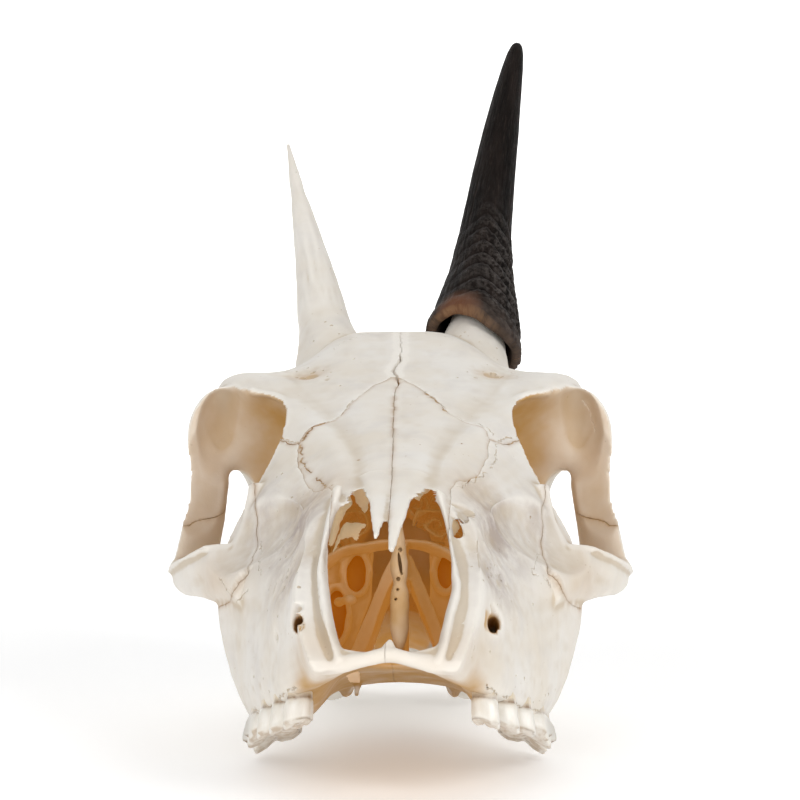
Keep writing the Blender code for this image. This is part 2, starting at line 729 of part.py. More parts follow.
def seat(obj, skull, shift):
    """Cuts away what would run into the bone around an object, then moves it clear by a hair."""
    around = collection("bone_around")
    around.objects.link(skull)
    boolean(obj, "DIFFERENCE", around)
    apply_all(obj)
    around.objects.unlink(skull)
    bpy.data.collections.remove(around)
    keep_largest(obj)
    obj.data.transform(Matrix.Translation(Vector(shift) * MM))


def make_vomer(skull, home):
    """The upright plate in the nose with its rounded front edge, and its wings behind, set on the palate."""
    side_view = [(-35, 10), (-35, 24), (-31, 31), (-10, 33), (12, 33.5), (12, 13)]
    vomer = prism("vomer", side_view, "X", -0.7, 0.7, home)
    pieces = collection("vomer_pieces")
    edge = [(0, -35.5, 10), (0, -35.5, 17.5), (0, -34.5, 24), (0, -31.5, 31)]
    strut("front_edge", edge, (1.1, 1.6, 1.2, 0.7), (1.2, 1.6, 1.2, 0.8), (1, 0, 0), pieces)
    wings = band([(9.5, 12), (4.2, 25.5), (0, 32), (-4.2, 25.5), (-9.5, 12)], 1.4)
    prism("wings", wings, "Y", -16, 6, pieces)
    boolean(vomer, "UNION", pieces)
    apply_all(vomer)
    empty_out(pieces)
    seat(vomer, skull, (0, 0, 0.2))
    return vomer


def make_ethmoid(skull, home):
    """The scrolls of thin bone that hang in the back of the nose."""
    side_view = [(-9, 38), (-8, 45), (2, 54), (16, 54), (16, 36)]
    ethmoid = prism("ethmoid", side_view, "X", -0.9, 0.9, home)
    scrolls = collection("scrolls")
    for side_name, side in SIDES.items():
        for i, (x, z, reach) in enumerate([(3.0, 45, -9), (7.6, 43, -11), (4.2, 39.5, -12), (9.0, 38, -8)]):
            path = mirrored([(x, 16, z - 2), (x, 4, z), (x + 0.6, reach, z - 2.5)], side)
            strut(f"scroll_{side_name}_{i}", path, (2.8, 2.8, 1.7), (2.4, 2.4, 1.4), (0.5, 0, 1), scrolls)
    boolean(ethmoid, "UNION", scrolls)
    apply_all(ethmoid)
    empty_out(scrolls)
    blend(ethmoid, 0.6, 3, 640)
    seat(ethmoid, skull, (0, -0.25, -0.25))
    return ethmoid


def bend_snout(obj):
    """Bends the front of an object to the right, as the snout bends."""
    for v in obj.data.vertices:
        v.co.x += along_table(SNOUT_BEND, v.co.y / MM) * MM


def trim_on_floor(objects):
    """Wears the lowest points flat where they touch the floor."""
    floor = collection("floor_block")
    tilt = math.radians(PITCH)
    edge = [(y, (y * math.sin(tilt) - LIFT) / math.cos(tilt)) for y in (-80, 120)]
    prism("floor", edge + [(120, -40), (-80, -40)], "X", -60, 60, floor)
    for obj in objects:
        boolean(obj, "DIFFERENCE", floor)
        apply_all(obj)
        keep_largest(obj)
    empty_out(floor)


def give_material(obj, colour, roughness):
    """Gives an object its own plain material."""
    material = bpy.data.materials.new(obj.name)
    material.use_nodes = True
    shader = material.node_tree.nodes["Principled BSDF"]
    shader.inputs["Base Color"].default_value = (*colour, 1)
    shader.inputs["Roughness"].default_value = roughness
    obj.data.materials.clear()
    obj.data.materials.append(material)


def main():
    for obj in list(bpy.data.objects):
        bpy.data.objects.remove(obj)
    model = collection("duiker_skull")
    skull = make_whole_skull(model)
    make_vomer(skull, model)
    make_ethmoid(skull, model)
    bones = part_bones(skull, model)
    bpy.data.objects.remove(skull)
    for side_name in SIDES:
        add_teeth(bones[f"maxilla_{side_name}"], side_name)
        make_core(side_name, model)
    make_sheath(model)
    trim_on_floor([bones["maxilla_right"], bones["maxilla_left"], bones["braincase"]])
    pose = add_object("resting_pose", None, model)
    pose.rotation_euler = (math.radians(-PITCH), 0, 0)
    pose.location = (0, SHIFT * MM, LIFT * MM)
    for obj in model.objects:
        if obj.type == "MESH":
            kind = obj.name.replace("_left", "").replace("_right", "")
            bend_snout(obj)
            give_material(obj, BONE_COLOURS.get(kind, SHEATH_COLOUR), 0.55)
            obj.parent = pose


main()
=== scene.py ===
# %% [markdown]
# # A duiker's skull
#
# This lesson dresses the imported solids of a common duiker's skull. The photograph shows it from the
# front, resting on its last cheek teeth and on two bony processes at the back, with the nose raised.
# The lower jaw and the two small bones at the tip of the nose are gone, so the nose stands open. One
# horn still has its dark sheath, and the other is a bare core.
#
# The solids give every bone its place and size, but their facets are coarse. Each one is replaced here
# by a fine bone surface in the same place. The first step loads the solids and keeps their box.

import json
import math
from collections import namedtuple
from functools import partial

import bmesh
import bpy
import numpy as np
from mathutils import Euler, Matrix, Vector, bvhtree

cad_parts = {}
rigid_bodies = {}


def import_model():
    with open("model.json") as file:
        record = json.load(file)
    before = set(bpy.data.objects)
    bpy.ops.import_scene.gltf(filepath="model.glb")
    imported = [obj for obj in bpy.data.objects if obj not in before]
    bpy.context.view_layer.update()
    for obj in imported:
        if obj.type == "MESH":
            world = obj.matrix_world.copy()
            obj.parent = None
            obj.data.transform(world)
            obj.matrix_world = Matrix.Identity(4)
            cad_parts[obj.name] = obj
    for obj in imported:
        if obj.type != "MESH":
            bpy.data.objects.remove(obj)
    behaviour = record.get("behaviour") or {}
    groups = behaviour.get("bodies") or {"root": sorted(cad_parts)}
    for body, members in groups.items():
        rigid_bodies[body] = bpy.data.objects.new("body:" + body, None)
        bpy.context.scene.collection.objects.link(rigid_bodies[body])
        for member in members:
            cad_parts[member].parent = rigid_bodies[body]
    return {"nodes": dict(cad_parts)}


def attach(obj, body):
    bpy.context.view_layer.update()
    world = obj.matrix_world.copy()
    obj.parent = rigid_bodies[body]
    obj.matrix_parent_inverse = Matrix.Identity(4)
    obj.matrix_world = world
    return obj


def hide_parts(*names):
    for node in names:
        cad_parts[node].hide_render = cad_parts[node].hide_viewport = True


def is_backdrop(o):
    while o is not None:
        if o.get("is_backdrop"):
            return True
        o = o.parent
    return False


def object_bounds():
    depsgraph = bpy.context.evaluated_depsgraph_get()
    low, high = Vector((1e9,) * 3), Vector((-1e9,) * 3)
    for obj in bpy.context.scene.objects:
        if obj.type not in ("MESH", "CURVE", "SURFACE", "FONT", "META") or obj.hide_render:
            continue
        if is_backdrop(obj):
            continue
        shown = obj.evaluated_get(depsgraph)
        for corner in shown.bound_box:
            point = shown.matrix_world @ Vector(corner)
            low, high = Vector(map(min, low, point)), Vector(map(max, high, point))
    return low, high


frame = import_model()
cad_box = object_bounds()
print("solids:", len(frame["nodes"]), "box:", cad_box)

# %% [markdown]
# ## The skull's own frame
#
# Measuring a tilted skull is awkward. A comparative anatomist lays it on the biting plane of its cheek
# teeth, so this lesson does the same: X runs to the animal's left, Y towards the back of the head and Z
# up, all in millimetres. One matrix then tips every finished piece onto what it rests on. The snout of
# this skull also bends a little to its right, so the last step before the tilt slides it sideways.

# %% The skull's frame and its resting pose
MM = 0.001
SIDES = {"right": -1, "left": 1}
TILT = math.radians(14.0)
LIFT = 3.1
SHIFT = -40.75
POSE = Matrix.Translation((0, SHIFT * MM, LIFT * MM)) @ Matrix.Rotation(-TILT, 4, "X")
SNOUT_BEND = [(-66, -2.5), (-52, -2.1), (-40, -1.5), (-26, -0.8), (-12, -0.3), (4, 0.0)]


def read_all(items, name, width=1, kind=np.float32):
    """One property of all the items of a mesh as an array."""
    values = np.empty(len(items) * width, kind)
    items.foreach_get(name, values)
    return values.reshape(-1, width) if width > 1 else values


def get_points(mesh):
    """The mesh's corners as an array."""
    return read_all(mesh.vertices, "co", 3).astype(float)


def set_points(mesh, points):
    """Moves the mesh's corners to these places."""
    mesh.vertices.foreach_set("co", np.asarray(points, np.float32).ravel())
    mesh.update()


def rest(obj):
    """Bends the snout, tips a finished piece into its resting pose and keeps it above the floor."""
    points = get_points(obj.data)
    bend_y, bend_x = zip(*SNOUT_BEND)
    points[:, 0] += np.interp(points[:, 1] / MM, bend_y, bend_x) * MM
    turn = np.array(POSE.to_3x3())
    points = points @ turn.T + np.array(POSE.translation)
    points[:, 2] = np.maximum(points[:, 2], 0.00002)
    set_points(obj.data, points)
    return obj


# %% [markdown]
# ## The camera
#
# The photograph was taken from about 60 cm with a long lens, a little above the skull. The camera looks
# 10.7 degrees upwards in the skull's frame, which is slightly down once the skull lies on its teeth. A
# long lens keeps the near nose and the far horns close to their true proportions.

# %% Place the camera
VIEW_RISE = math.radians(10.7)
EYE_BACK = 600.0
EYE_UP = 60.0
PHOTO_SIZE = 800
FOCAL_IN_PIXELS = 3510
SENSOR = 36.0


def add_object(name, data, home=None):
    """An object that shows this mesh, camera or lamp."""
    made = bpy.data.objects.new(name, data)
    (home or bpy.context.scene.collection).objects.link(made)
    return made


def add_camera():
    """The photograph's camera, set in the skull's frame and carried into the resting pose."""
    data = bpy.data.cameras.new("photo_camera")
    data.sensor_width = SENSOR
    data.lens = SENSOR * FOCAL_IN_PIXELS / PHOTO_SIZE
    data.clip_start = 0.01
    camera = add_object("photo_camera", data)
    ahead = Vector((0, math.cos(VIEW_RISE), math.sin(VIEW_RISE)))
    upwards = Vector((0, -math.sin(VIEW_RISE), math.cos(VIEW_RISE)))
    turn = Matrix((ahead.cross(upwards), upwards, -ahead)).transposed().to_4x4()
    eye = (upwards * EYE_UP - ahead * EYE_BACK) * MM
    camera.matrix_world = POSE @ Matrix.Translation(eye) @ turn
    bpy.context.scene.camera = camera
    return camera


camera = add_camera()
print("camera height in mm:", round(camera.matrix_world.translation.z * 1000, 1))

# %% [markdown]
# ## Floor and light
#
# The skull lies on a white sweep, a floor that curves up behind it, so that no horizon shows. The light
# is soft: a pale sky from all round, a lamp on the right and a weaker one on the left. The skull's shadow
# stays grey between its rows of teeth, and the paper glows a little, as a lit sweep does.

# %% The sweep, the sky and the lamps
FLOOR_HALF = 1.6
SWEEP_START = 1.3
SWEEP_RADIUS = 0.5
SWEEP_TOP = 2.4
SKY_STRENGTH = 0.52
PAPER_GLOW = 0.24
Lamp = namedtuple("Lamp", "name place power size target")
LAMPS = [
    Lamp("key", (0.56, -0.82, 0.52), 3.7, 0.35, (0, 0, 0.05)),
    Lamp("fill", (-0.42, -0.96, 0.44), 3.3, 0.5, (0, 0, 0.05)),
    Lamp("wall_light", (0, 0.95, 1.3), 20.0, 1.2, (0, 1.9, 0.7)),
]


def feed(made, links):
    """Puts values or other sockets on the inputs of a node."""
    for socket, value in links.items():
        if isinstance(value, bpy.types.NodeSocket):
            made.id_data.links.new(value, made.inputs[socket])
        else:
            made.inputs[socket].default_value = value


def shader_of(material):
    """The node that gives a material its looks."""
    return material.node_tree.nodes["Principled BSDF"]


def plain_material(name, colour, roughness):
    """A material of one colour, as a start for the richer ones."""
    material = bpy.data.materials.new(name)
    material.use_nodes = True
    feed(shader_of(material), {"Base Color": (*colour, 1), "Roughness": roughness})
    return material


def add_sweep():
    """A floor that turns up into a wall behind the skull, as one smooth sheet."""
    side_view = [(-FLOOR_HALF, 0.0), (SWEEP_START, 0.0)]
    for i in range(1, 17):
        angle = math.pi / 2 * i / 16
        side_view.append((
            SWEEP_START + SWEEP_RADIUS * math.sin(angle),
            SWEEP_RADIUS * (1 - math.cos(angle)),
        ))
    side_view.append((SWEEP_START + SWEEP_RADIUS, SWEEP_TOP))
    corners = [(x, y, z) for y, z in side_view for x in (-FLOOR_HALF, FLOOR_HALF)]
    faces = [(i, i + 1, i + 3, i + 2) for i in range(0, len(corners) - 2, 2)]
    mesh = bpy.data.meshes.new("sweep")
    mesh.from_pydata(corners, [], faces)
    mesh.shade_smooth()
    sweep = add_object("sweep", mesh)
    paper = plain_material("white_paper", (0.93, 0.93, 0.93), 0.9)
    feed(shader_of(paper), {"Emission Color": (1, 1, 1, 1), "Emission Strength": PAPER_GLOW})
    mesh.materials.append(paper)
    sweep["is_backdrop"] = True
    return sweep


def add_lamp(name, place, power, size, target):
    """A square lamp aimed at a target."""
    data = bpy.data.lights.new(name, "AREA")
    data.energy = power
    data.size = size
    lamp = add_object(name, data)
    lamp.location = place
    lamp.rotation_euler = (Vector(target) - Vector(place)).to_track_quat("-Z", "Y").to_euler()
    return lamp


def light_the_scene():
    """A pale sky from all sides and the lamps."""
    world = bpy.data.worlds.new("soft_sky")
    bpy.context.scene.world = world
    world.use_nodes = True
    feed(world.node_tree.nodes["Background"], {"Color": (1, 1, 1, 1), "Strength": SKY_STRENGTH})
    for lamp in LAMPS:
        add_lamp(*lamp)
    bpy.context.scene.view_settings.view_transform = "Standard"


sweep = add_sweep()
light_the_scene()
print("stage ready")

# %% [markdown]
# ## Tools for building bone
#
# Bone has no straight edges. Everything here starts as a loft, which is a skin through a row of outlines,
# or as a strut, which is a bar that swells and thins along a curved path. Both pass a smooth curve
# through a few measured stations, so a handful of numbers gives a shape without facets.

# %% Curves, lofts and struts
def through(rows, count, closed=False):
    """Points evenly spaced along a smooth curve that passes through every row (Catmull-Rom)."""
    rows = np.asarray(rows, float)
    n = len(rows)
    spans = n if closed else n - 1
    where = np.linspace(0, spans, count, endpoint=not closed)
    start = np.minimum(where.astype(int), spans - 1)
    t = (where - start)[:, None]

    def row(i):
        return rows[i % n] if closed else rows[np.clip(i, 0, n - 1)]

    before, here, there, after = row(start - 1), row(start), row(start + 1), row(start + 2)
    return 0.5 * (
        2 * here
        + (there - before) * t
        + (2 * before - 5 * here + 4 * there - after) * t**2
        + (3 * here - before - 3 * there + after) * t**3
    )


def along_table(table, where):
    """The value of a two-column table at this place, between its rows in proportion."""
    places, values = zip(*table)
    return np.interp(where, places, values)


def mirrored(points, side):
    """The points for one side of the head, given for its left side."""
    return [(side * x, y, z) for x, y, z in points]


def group(name):
    """A collection for helpers that are fused or cut away later."""
    made = bpy.data.collections.new(name)
    bpy.context.scene.collection.children.link(made)
    return made


def keep_bmesh(name, bm, home=None):
    """Turns a bmesh in metres into an object."""
    mesh = bpy.data.meshes.new(name)
    bm.to_mesh(mesh)
    bm.free()
    return add_object(name, mesh, home)


def finish_bmesh(name, bm, home=None):
    """Turns a bmesh into an object with its faces pointing out."""
    bmesh.ops.recalc_face_normals(bm, faces=bm.faces)
    return keep_bmesh(name, bm, home)


def bridge(bm, low, high):
    """A belt of faces between two rings of corners."""
    for i in range(len(low)):
        j = (i + 1) % len(low)
        bm.faces.new((low[i], low[j], high[j], high[i]))


def loft(name, rings, home=None):
    """A closed body through rings of points in millimetres, with a fan on each end."""
    bm = bmesh.new()
    rows = [[bm.verts.new(Vector(p) * MM) for p in ring] for ring in rings]
    count = len(rows[0])
    for low, high in zip(rows, rows[1:]):
        bridge(bm, low, high)
    for row in (rows[0], rows[-1]):
        middle = bm.verts.new(sum((v.co for v in row), Vector()) / count)
        for i in range(count):
            bm.faces.new((row[i], row[(i + 1) % count], middle))
    return finish_bmesh(name, bm, home)


def strut(name, path, wide, thin, across, home=None, rings=30, count=24):
    """A bar of elliptical section along a smooth path. wide and thin are its half sizes at each point of
    the path, and across is the direction in which it is wide."""
    rows = through([(*p, w, t) for p, w, t in zip(path, wide, thin)], rings)
    across = Vector(across).normalized()
    outline = []
    for i, (x, y, z, w, t) in enumerate(rows):
        ahead = Vector(rows[min(i + 1, rings - 1)][:3]) - Vector(rows[max(i - 1, 0)][:3])
        ahead.normalize()
        broad = (across - ahead * across.dot(ahead)).normalized()
        narrow = ahead.cross(broad)
        ring = []
        for k in range(count):
            angle = 2 * math.pi * k / count
            ring.append(Vector((x, y, z)) + broad * (w * math.cos(angle)) + narrow * (t * math.sin(angle)))
        outline.append(ring)
    return loft(name, outline, home)


def blob(name, centre, radii, home=None, turn=(0, 0, 0), segments=40):
    """An ellipsoid, turned by these angles in degrees."""
    bm = bmesh.new()
    bmesh.ops.create_uvsphere(bm, u_segments=segments, v_segments=segments * 3 // 5, radius=1)
    spin = Euler([math.radians(a) for a in turn]).to_matrix()
    for v in bm.verts:
        local = Vector(c * r for c, r in zip(v.co, radii))
        v.co = (spin @ local + Vector(centre)) * MM
    return finish_bmesh(name, bm, home)


def prism(name, outline, axis, low, high, home=None):
    """An outline in millimetres, extruded along X, Y or Z between two places on that axis."""
    order = {"X": (2, 0, 1), "Y": (0, 2, 1), "Z": (0, 1, 2)}[axis]
    bm = bmesh.new()
    ends = []
    for depth in (low, high):
        corners = [[(u, v, depth)[i] for i in order] for u, v in outline]
        ends.append([bm.verts.new(Vector(corner) * MM) for corner in corners])
    bm.faces.new(ends[0])
    bm.faces.new(reversed(ends[1]))
    bridge(bm, *ends)
    bmesh.ops.recalc_face_normals(bm, faces=bm.faces)
    bmesh.ops.triangulate(bm, faces=[f for f in bm.faces if len(f.verts) > 4])
    return finish_bmesh(name, bm, home)


# %% [markdown]
# ## Joining and cutting
#
# Separate masses are fused with a Boolean union, and hollows are cut with a difference. Everything is a
# closed body, so the Manifold solver is used: it is fast on hundreds of thousands of triangles and its
# result is always closed.

# %% Booleans on whole collections
def apply_all(obj):
    """Applies the object's modifiers to its mesh."""
    graph = bpy.context.evaluated_depsgraph_get()
    made = bpy.data.meshes.new_from_object(obj.evaluated_get(graph))
    obj.modifiers.clear()
    obj.data = made


def boolean(obj, operation, operands):
    """Joins or cuts an object with every object of a collection, and then removes them."""
    step = obj.modifiers.new(operation.title(), "BOOLEAN")
    step.operation = operation
    step.operand_type = "COLLECTION"
    step.collection = operands
    step.solver = "MANIFOLD"
    apply_all(obj)
    for helper in list(operands.objects):
        bpy.data.objects.remove(helper)
    bpy.data.collections.remove(operands)


def skin_over(obj, voxel, steps):
    """Flows the masses of an object into one fine skin and softens it."""
    skin = obj.modifiers.new("Skin", "REMESH")
    skin.mode = "VOXEL"
    skin.voxel_size = voxel * MM
    soften = obj.modifiers.new("Soften", "SMOOTH")
    soften.factor = 0.5
    soften.iterations = steps
    apply_all(obj)


NOISE_CELLS = 24


def noise(points, size, seed, octaves=1):
    """Smooth noise from -1 to 1 at points in millimetres, with bumps of about this size."""
    total = np.zeros(len(points))
    share = 1.0
    for octave in range(octaves):
        table = np.random.default_rng(seed + octave).uniform(-1, 1, [NOISE_CELLS] * 3)
        place = np.asarray(points) / size
        corner = np.floor(place).astype(int)
        t = place - corner
        t = t * t * (3 - 2 * t)
        value = 0
        for i, j, k in np.ndindex(2, 2, 2):
            weight = abs(1 - i - t[:, 0]) * abs(1 - j - t[:, 1]) * abs(1 - k - t[:, 2])
            at = (corner + (i, j, k)) % NOISE_CELLS
            value = value + weight * table[at[:, 0], at[:, 1], at[:, 2]]
        total += share * value
        share *= 0.5
        size *= 0.5
    return total


def rise(value, low, high):
    """0 below low, 1 above high, and a smooth step between."""
    t = np.clip((value - low) / (high - low), 0, 1)
    return t * t * (3 - 2 * t)


# %% [markdown]
# ## The stations of the face
#
# The face is lofted through outlines measured along the skull, each from the roof down the side to the
# palate. These are the same stations as in the solids, because the fine surface has to stay where they
# are. The braincase and the hollow of the nose are rounder, so each of their outlines is a superellipse
# with a half width, a lowest and a highest point.

# %% Measured stations
Station = namedtuple("Station", "y roof flat drop waist_x waist_z cheek_x cheek_z gum_x gum_z palate_x vault")
FACE = [
    Station(-66, 19.0, 6.5, 1.5, 11.5, 16.5, 12.3, 13.5, 11.0, 8.5, 7.5, 9.0),
    Station(-56, 25.0, 8.0, 1.5, 12.8, 21.0, 13.8, 16.0, 11.8, 7.6, 8.5, 9.0),
    Station(-46, 31.0, 9.0, 1.5, 13.6, 26.5, 15.5, 18.5, 13.2, 7.6, 9.5, 10.0),
    Station(-38, 36.0, 9.5, 1.5, 14.8, 31.0, 17.4, 18.5, 17.2, 6.8, 12.4, 11.0),
    Station(-28, 42.0, 9.6, 1.8, 16.2, 36.0, 20.0, 20.0, 20.0, 6.2, 13.5, 12.0),
    Station(-16, 48.5, 10.5, 2.0, 18.5, 40.0, 24.8, 22.5, 23.4, 5.4, 14.5, 12.5),
    Station(-6, 54.0, 13.5, 2.4, 22.3, 43.0, 29.2, 25.5, 25.0, 5.4, 15.5, 13.0),
    Station(3, 59.0, 17.5, 2.6, 25.5, 46.0, 31.6, 26.5, 25.9, 6.8, 16.0, 13.0),
    Station(11, 63.6, 22.0, 2.6, 28.0, 50.0, 31.0, 29.0, 25.0, 8.6, 16.5, 13.0),
    Station(19, 68.3, 27.5, 2.6, 30.5, 55.0, 29.0, 33.0, 20.0, 15.0, 15.0, 15.0),
    Station(27, 73.2, 31.5, 3.4, 33.0, 58.0, 27.5, 36.0, 16.0, 20.0, 12.0, 19.0),
    Station(35, 78.4, 32.5, 7.6, 31.5, 60.0, 25.0, 40.0, 15.0, 24.0, 11.0, 23.0),
    Station(44, 82.6, 29.0, 11.5, 28.5, 60.0, 25.0, 42.0, 15.0, 26.0, 10.0, 25.0),
    Station(52, 82.9, 25.0, 12.0, 27.0, 60.0, 25.0, 44.0, 15.0, 26.0, 10.0, 25.0),
]
Round = namedtuple("Round", "y half bottom top")
BRAINCASE = [
    Round(40, 24.0, 26.0, 79.0), Round(48, 26.5, 25.0, 82.5), Round(54, 27.5, 24.5, 81.0),
    Round(61, 28.0, 24.5, 77.0), Round(70, 28.0, 24.0, 71.0), Round(78, 26.5, 23.5, 64.0),
    Round(86, 23.5, 23.5, 56.0), Round(92, 19.0, 25.0, 49.5), Round(96, 12.0, 28.0, 43.5),
]
NASAL_CAVITY = [
    Round(-70, 9.5, 10.5, 24.0), Round(-56, 11.0, 10.5, 25.0), Round(-46, 12.3, 11.3, 30.5),
    Round(-38, 13.0, 12.0, 35.5), Round(-31, 13.6, 12.6, 39.7), Round(-23, 14.2, 13.0, 43.2),
    Round(-12, 14.5, 14.0, 47.5), Round(0, 13.5, 15.0, 50.5), Round(8, 11.0, 17.0, 49.0),
    Round(14, 7.0, 20.0, 43.0),
]
APERTURE_EDGE = [(-58.5, 3), (-58, 9), (-55, 13), (-49, 19.5), (-42, 27.5), (-35, 35), (-31, 42), (-31, 60)]


def face_ring(station, count=96):
    """The outline of the face at one station, from the roof round the side to the palate and back."""
    s = station
    half = [
        (0, s.roof),
        (0.35 * s.flat, s.roof - 0.08 * s.drop),
        (0.62 * s.flat, s.roof - 0.62 * s.drop),
        (s.flat, s.roof - s.drop),
        (s.waist_x, s.waist_z),
        (s.cheek_x, s.cheek_z),
        (s.gum_x, s.gum_z),
        (s.palate_x, s.gum_z - 0.3),
        (0.6 * s.palate_x, s.vault - 1.2),
        (0, s.vault),
    ]
    outline = half + [(-x, z) for x, z in half[-2:0:-1]]
    return [(x, s.y, z) for x, z in through(outline, count, closed=True)]


def round_loft(name, stations, home=None, fullness=2.3, rings=50, count=64):
    """A loft through rounded stations. More fullness makes them squarer."""
    outlines = []
    for row in through(stations, rings):
        s = Round(*row)
        middle, high = (s.top + s.bottom) / 2, (s.top - s.bottom) / 2
        ring = []
        for i in range(count):
            angle = 2 * math.pi * i / count
            c, d = math.cos(angle), math.sin(angle)
            x = s.half * math.copysign(abs(c) ** (2 / fullness), c)
            ring.append((x, s.y, middle + high * math.copysign(abs(d) ** (2 / fullness), d)))
        outlines.append(ring)
    return loft(name, outlines, home)


print("stations of the face, the braincase and the nose:", len(FACE), len(BRAINCASE), len(NASAL_CAVITY))

# %% [markdown]
# ## The bars and bosses
#
# To the face and the braincase come the parts that stand off them: the cheek arches with the rim of the
# eye socket, the flat bar behind each eye, the feet of the horns, the ear bullae and processes under the
# braincase, and the crest across its back. Each is a strut or a blob that overlaps its neighbour, so the
# union has something to fuse.

# %% What stands off the face and the braincase
Horn = namedtuple("Horn", "foot direction")
HORNS = {
    "right": Horn(Vector((-12.8, 52.0, 78.0)), Vector((-0.159, 0.53, 0.84)).normalized()),
    "left": Horn(Vector((13.5, 52.0, 78.0)), Vector((0.118, 0.53, 0.84)).normalized()),
}
PEDICLE_TOP = 8.0
CORE_LENGTH = 61.5
CORE_RADIUS = 5.9
CORE_TIP = 0.3
ROD_RADIUS = 1.3


def add_cheek(side, home):
    """The jugal and the arch that runs back from it, with the rim of the orbit along its top."""
    arch = [
        (24, -12, 26), (29, -2, 29.5), (34.5, 10, 31.5), (38.2, 20, 32.5),
        (39.4, 29, 33.8), (38.4, 41, 35.8), (34.0, 52, 38), (26, 60, 40),
    ]
    heights = (4.5, 4.9, 4.3, 3.1, 2.3, 2.4, 2.8, 4.0)
    depths = (3.5, 3.4, 2.8, 2.0, 1.8, 1.7, 2.0, 5.0)
    strut("arch", mirrored(arch, side), heights, depths, (0.2 * side, 0, 1), home, rings=50)
    crest = [(27.5, -6, 36.5), (32.5, 2.5, 35.2), (36.6, 11.5, 34.7), (39.6, 20, 34.6), (41.3, 29, 34.9)]
    wide = (1.2, 1.9, 2.0, 1.6, 0.9)
    strut("crest", mirrored(crest, side), wide, [0.6] * 5, (side, -0.9, 0.1), home, rings=40)
    rim = [(24.3, 0, 46), (25.3, -0.5, 40), (27.5, 1, 35.5), (32, 7, 33.8), (37, 16, 34.5), (40, 26, 35.5)]
    strut("rim", mirrored(rim, side), [1.7] * 6, [1.3] * 6, (side, 0, 0), home)
    bar = [
        (28.6, 27.5, 67.4), (32.6, 28, 65.4), (34.4, 29, 61), (34.7, 29.5, 54),
        (35.4, 29, 46), (36.5, 28.5, 39), (37.8, 27, 34),
    ]
    return mirrored(bar, side)


def add_orbit_rims(side, home):
    """The web between the bar and the wall of the eye socket, and the socket's inner rim."""
    web = [(26.5, 28.0, 67.5), (28.5, 29.8, 63), (29.6, 30.6, 59), (30.0, 31.0, 55.4)]
    strut("web", mirrored(web, side), (4.5, 5.5, 5.5, 4.5), (1.5, 1.5, 1.4, 1.3), (-side, 0.35, 0), home, 40)
    tear = [(21.8, 14.0, 61.8), (22.8, 12.0, 59.5), (23.4, 10.6, 56.8), (23.3, 9.2, 53.6), (22.9, 7.0, 50.2),
            (23.2, 4.0, 46.6)]
    strut("tear_rim", mirrored(tear, side), [1.3] * 6, [1.3] * 6, (side, 0, 0), home, 40)
    brow = [(20.6, 15.0, 63.6), (22.6, 16.8, 64.6), (25.4, 18.6, 65.2), (27.2, 19.6, 66.6)]
    strut("brow_edge", mirrored(brow, side), [0.9, 1.2, 1.2, 0.6], [0.7] * 4, (0, 0, 1), home, 30)


def add_skull_base(side, home):
    """What hangs below the braincase on one side, and the condyle at its back."""
    blob("condyle", (side * 8.2, 94.0, 31.5), (5.0, 5.5, 7.5), home, (20, 0, side * 15))
    blob("bulla", (side * 13.0, 70.5, 22.5), (5.5, 9.5, 6.5), home, (0, 0, -side * 12))
    blob("glenoid", (side * 24.0, 58.0, 37.0), (8.0, 6.5, 4.0), home)
    process = [(18.5, 86, 38), (19.8, 85, 29), (20.4, 83.5, 21), (20.2, 82.5, 14.5)]
    strut("process", mirrored(process, side), (5.0, 4.4, 3.2, 1.9), (3.4, 2.6, 2.0, 1.5), (0, 1, 0), home)
    ear = [(19, 71, 33), (24.5, 72, 35.5), (28.5, 73, 38)]
    strut("ear", mirrored(ear, side), (4.2, 3.6, 3.0), (4.2, 3.6, 3.0), (0, 1, 0), home)
    plate = [(9.8, 12, 15), (9.4, 22, 16.5), (8.9, 32, 19.5), (8.4, 42, 22.5)]
    strut("pterygoid", mirrored(plate, side), (4.5, 5.0, 6.0, 4.0), [1.2] * 4, (0, 0, 1), home)


def core_radius(place):
    """The radius of a horn core this far up from its foot."""
    return np.maximum(CORE_RADIUS * (1 - place / (CORE_LENGTH + 3.5)), CORE_TIP)


def add_horn_foot(side_name, home):
    """The foot of one horn on the frontal bone, and its core as a rod that is thinned later."""
    foot, direction = HORNS[side_name]
    path = [tuple(foot + direction * along) for along in (-16, -9, -3, 2, PEDICLE_TOP + 2)]
    radii = (12.0, 9.8, 8.0, 6.7, 4.9)
    strut("pedicle", path, radii, radii, (1, 0, 0), home, count=48)
    places = [0, 10, 20, 30, 40, 50, CORE_LENGTH]
    rod = [max(float(core_radius(p)), ROD_RADIUS) for p in places]
    strut("core", [tuple(foot + direction * p) for p in places], rod, rod, (1, 0, 0), home, 60, 40)


def add_crest(home):
    """The nuchal crest, an arch across the back of the braincase."""
    half = [(24.3, 79.5, 43), (20, 84, 49.6), (11, 87, 53.6), (0, 88, 54.8)]
    arch = half + mirrored(half[-2::-1], -1)
    strut("nuchal_crest", arch, [2.2] * len(arch), [1.5] * len(arch), (0, 1, 0.6), home, rings=50)


# %% [markdown]
# ## The hollows
#
# The eye sockets, the hollows behind them, the nose and the holes for nerves and blood vessels are cut
# with the same two tools. Where the two small bones of the nose tip have come off, they leave a rim with
# two thin ridges and a pitted furrow between them. The furrow is a thin strut cut along the rim, and the
# inner ridge is one added to it. All of this is cut before the fine skin is made, so that its edges come
# out a little rounded, as worn bone is.

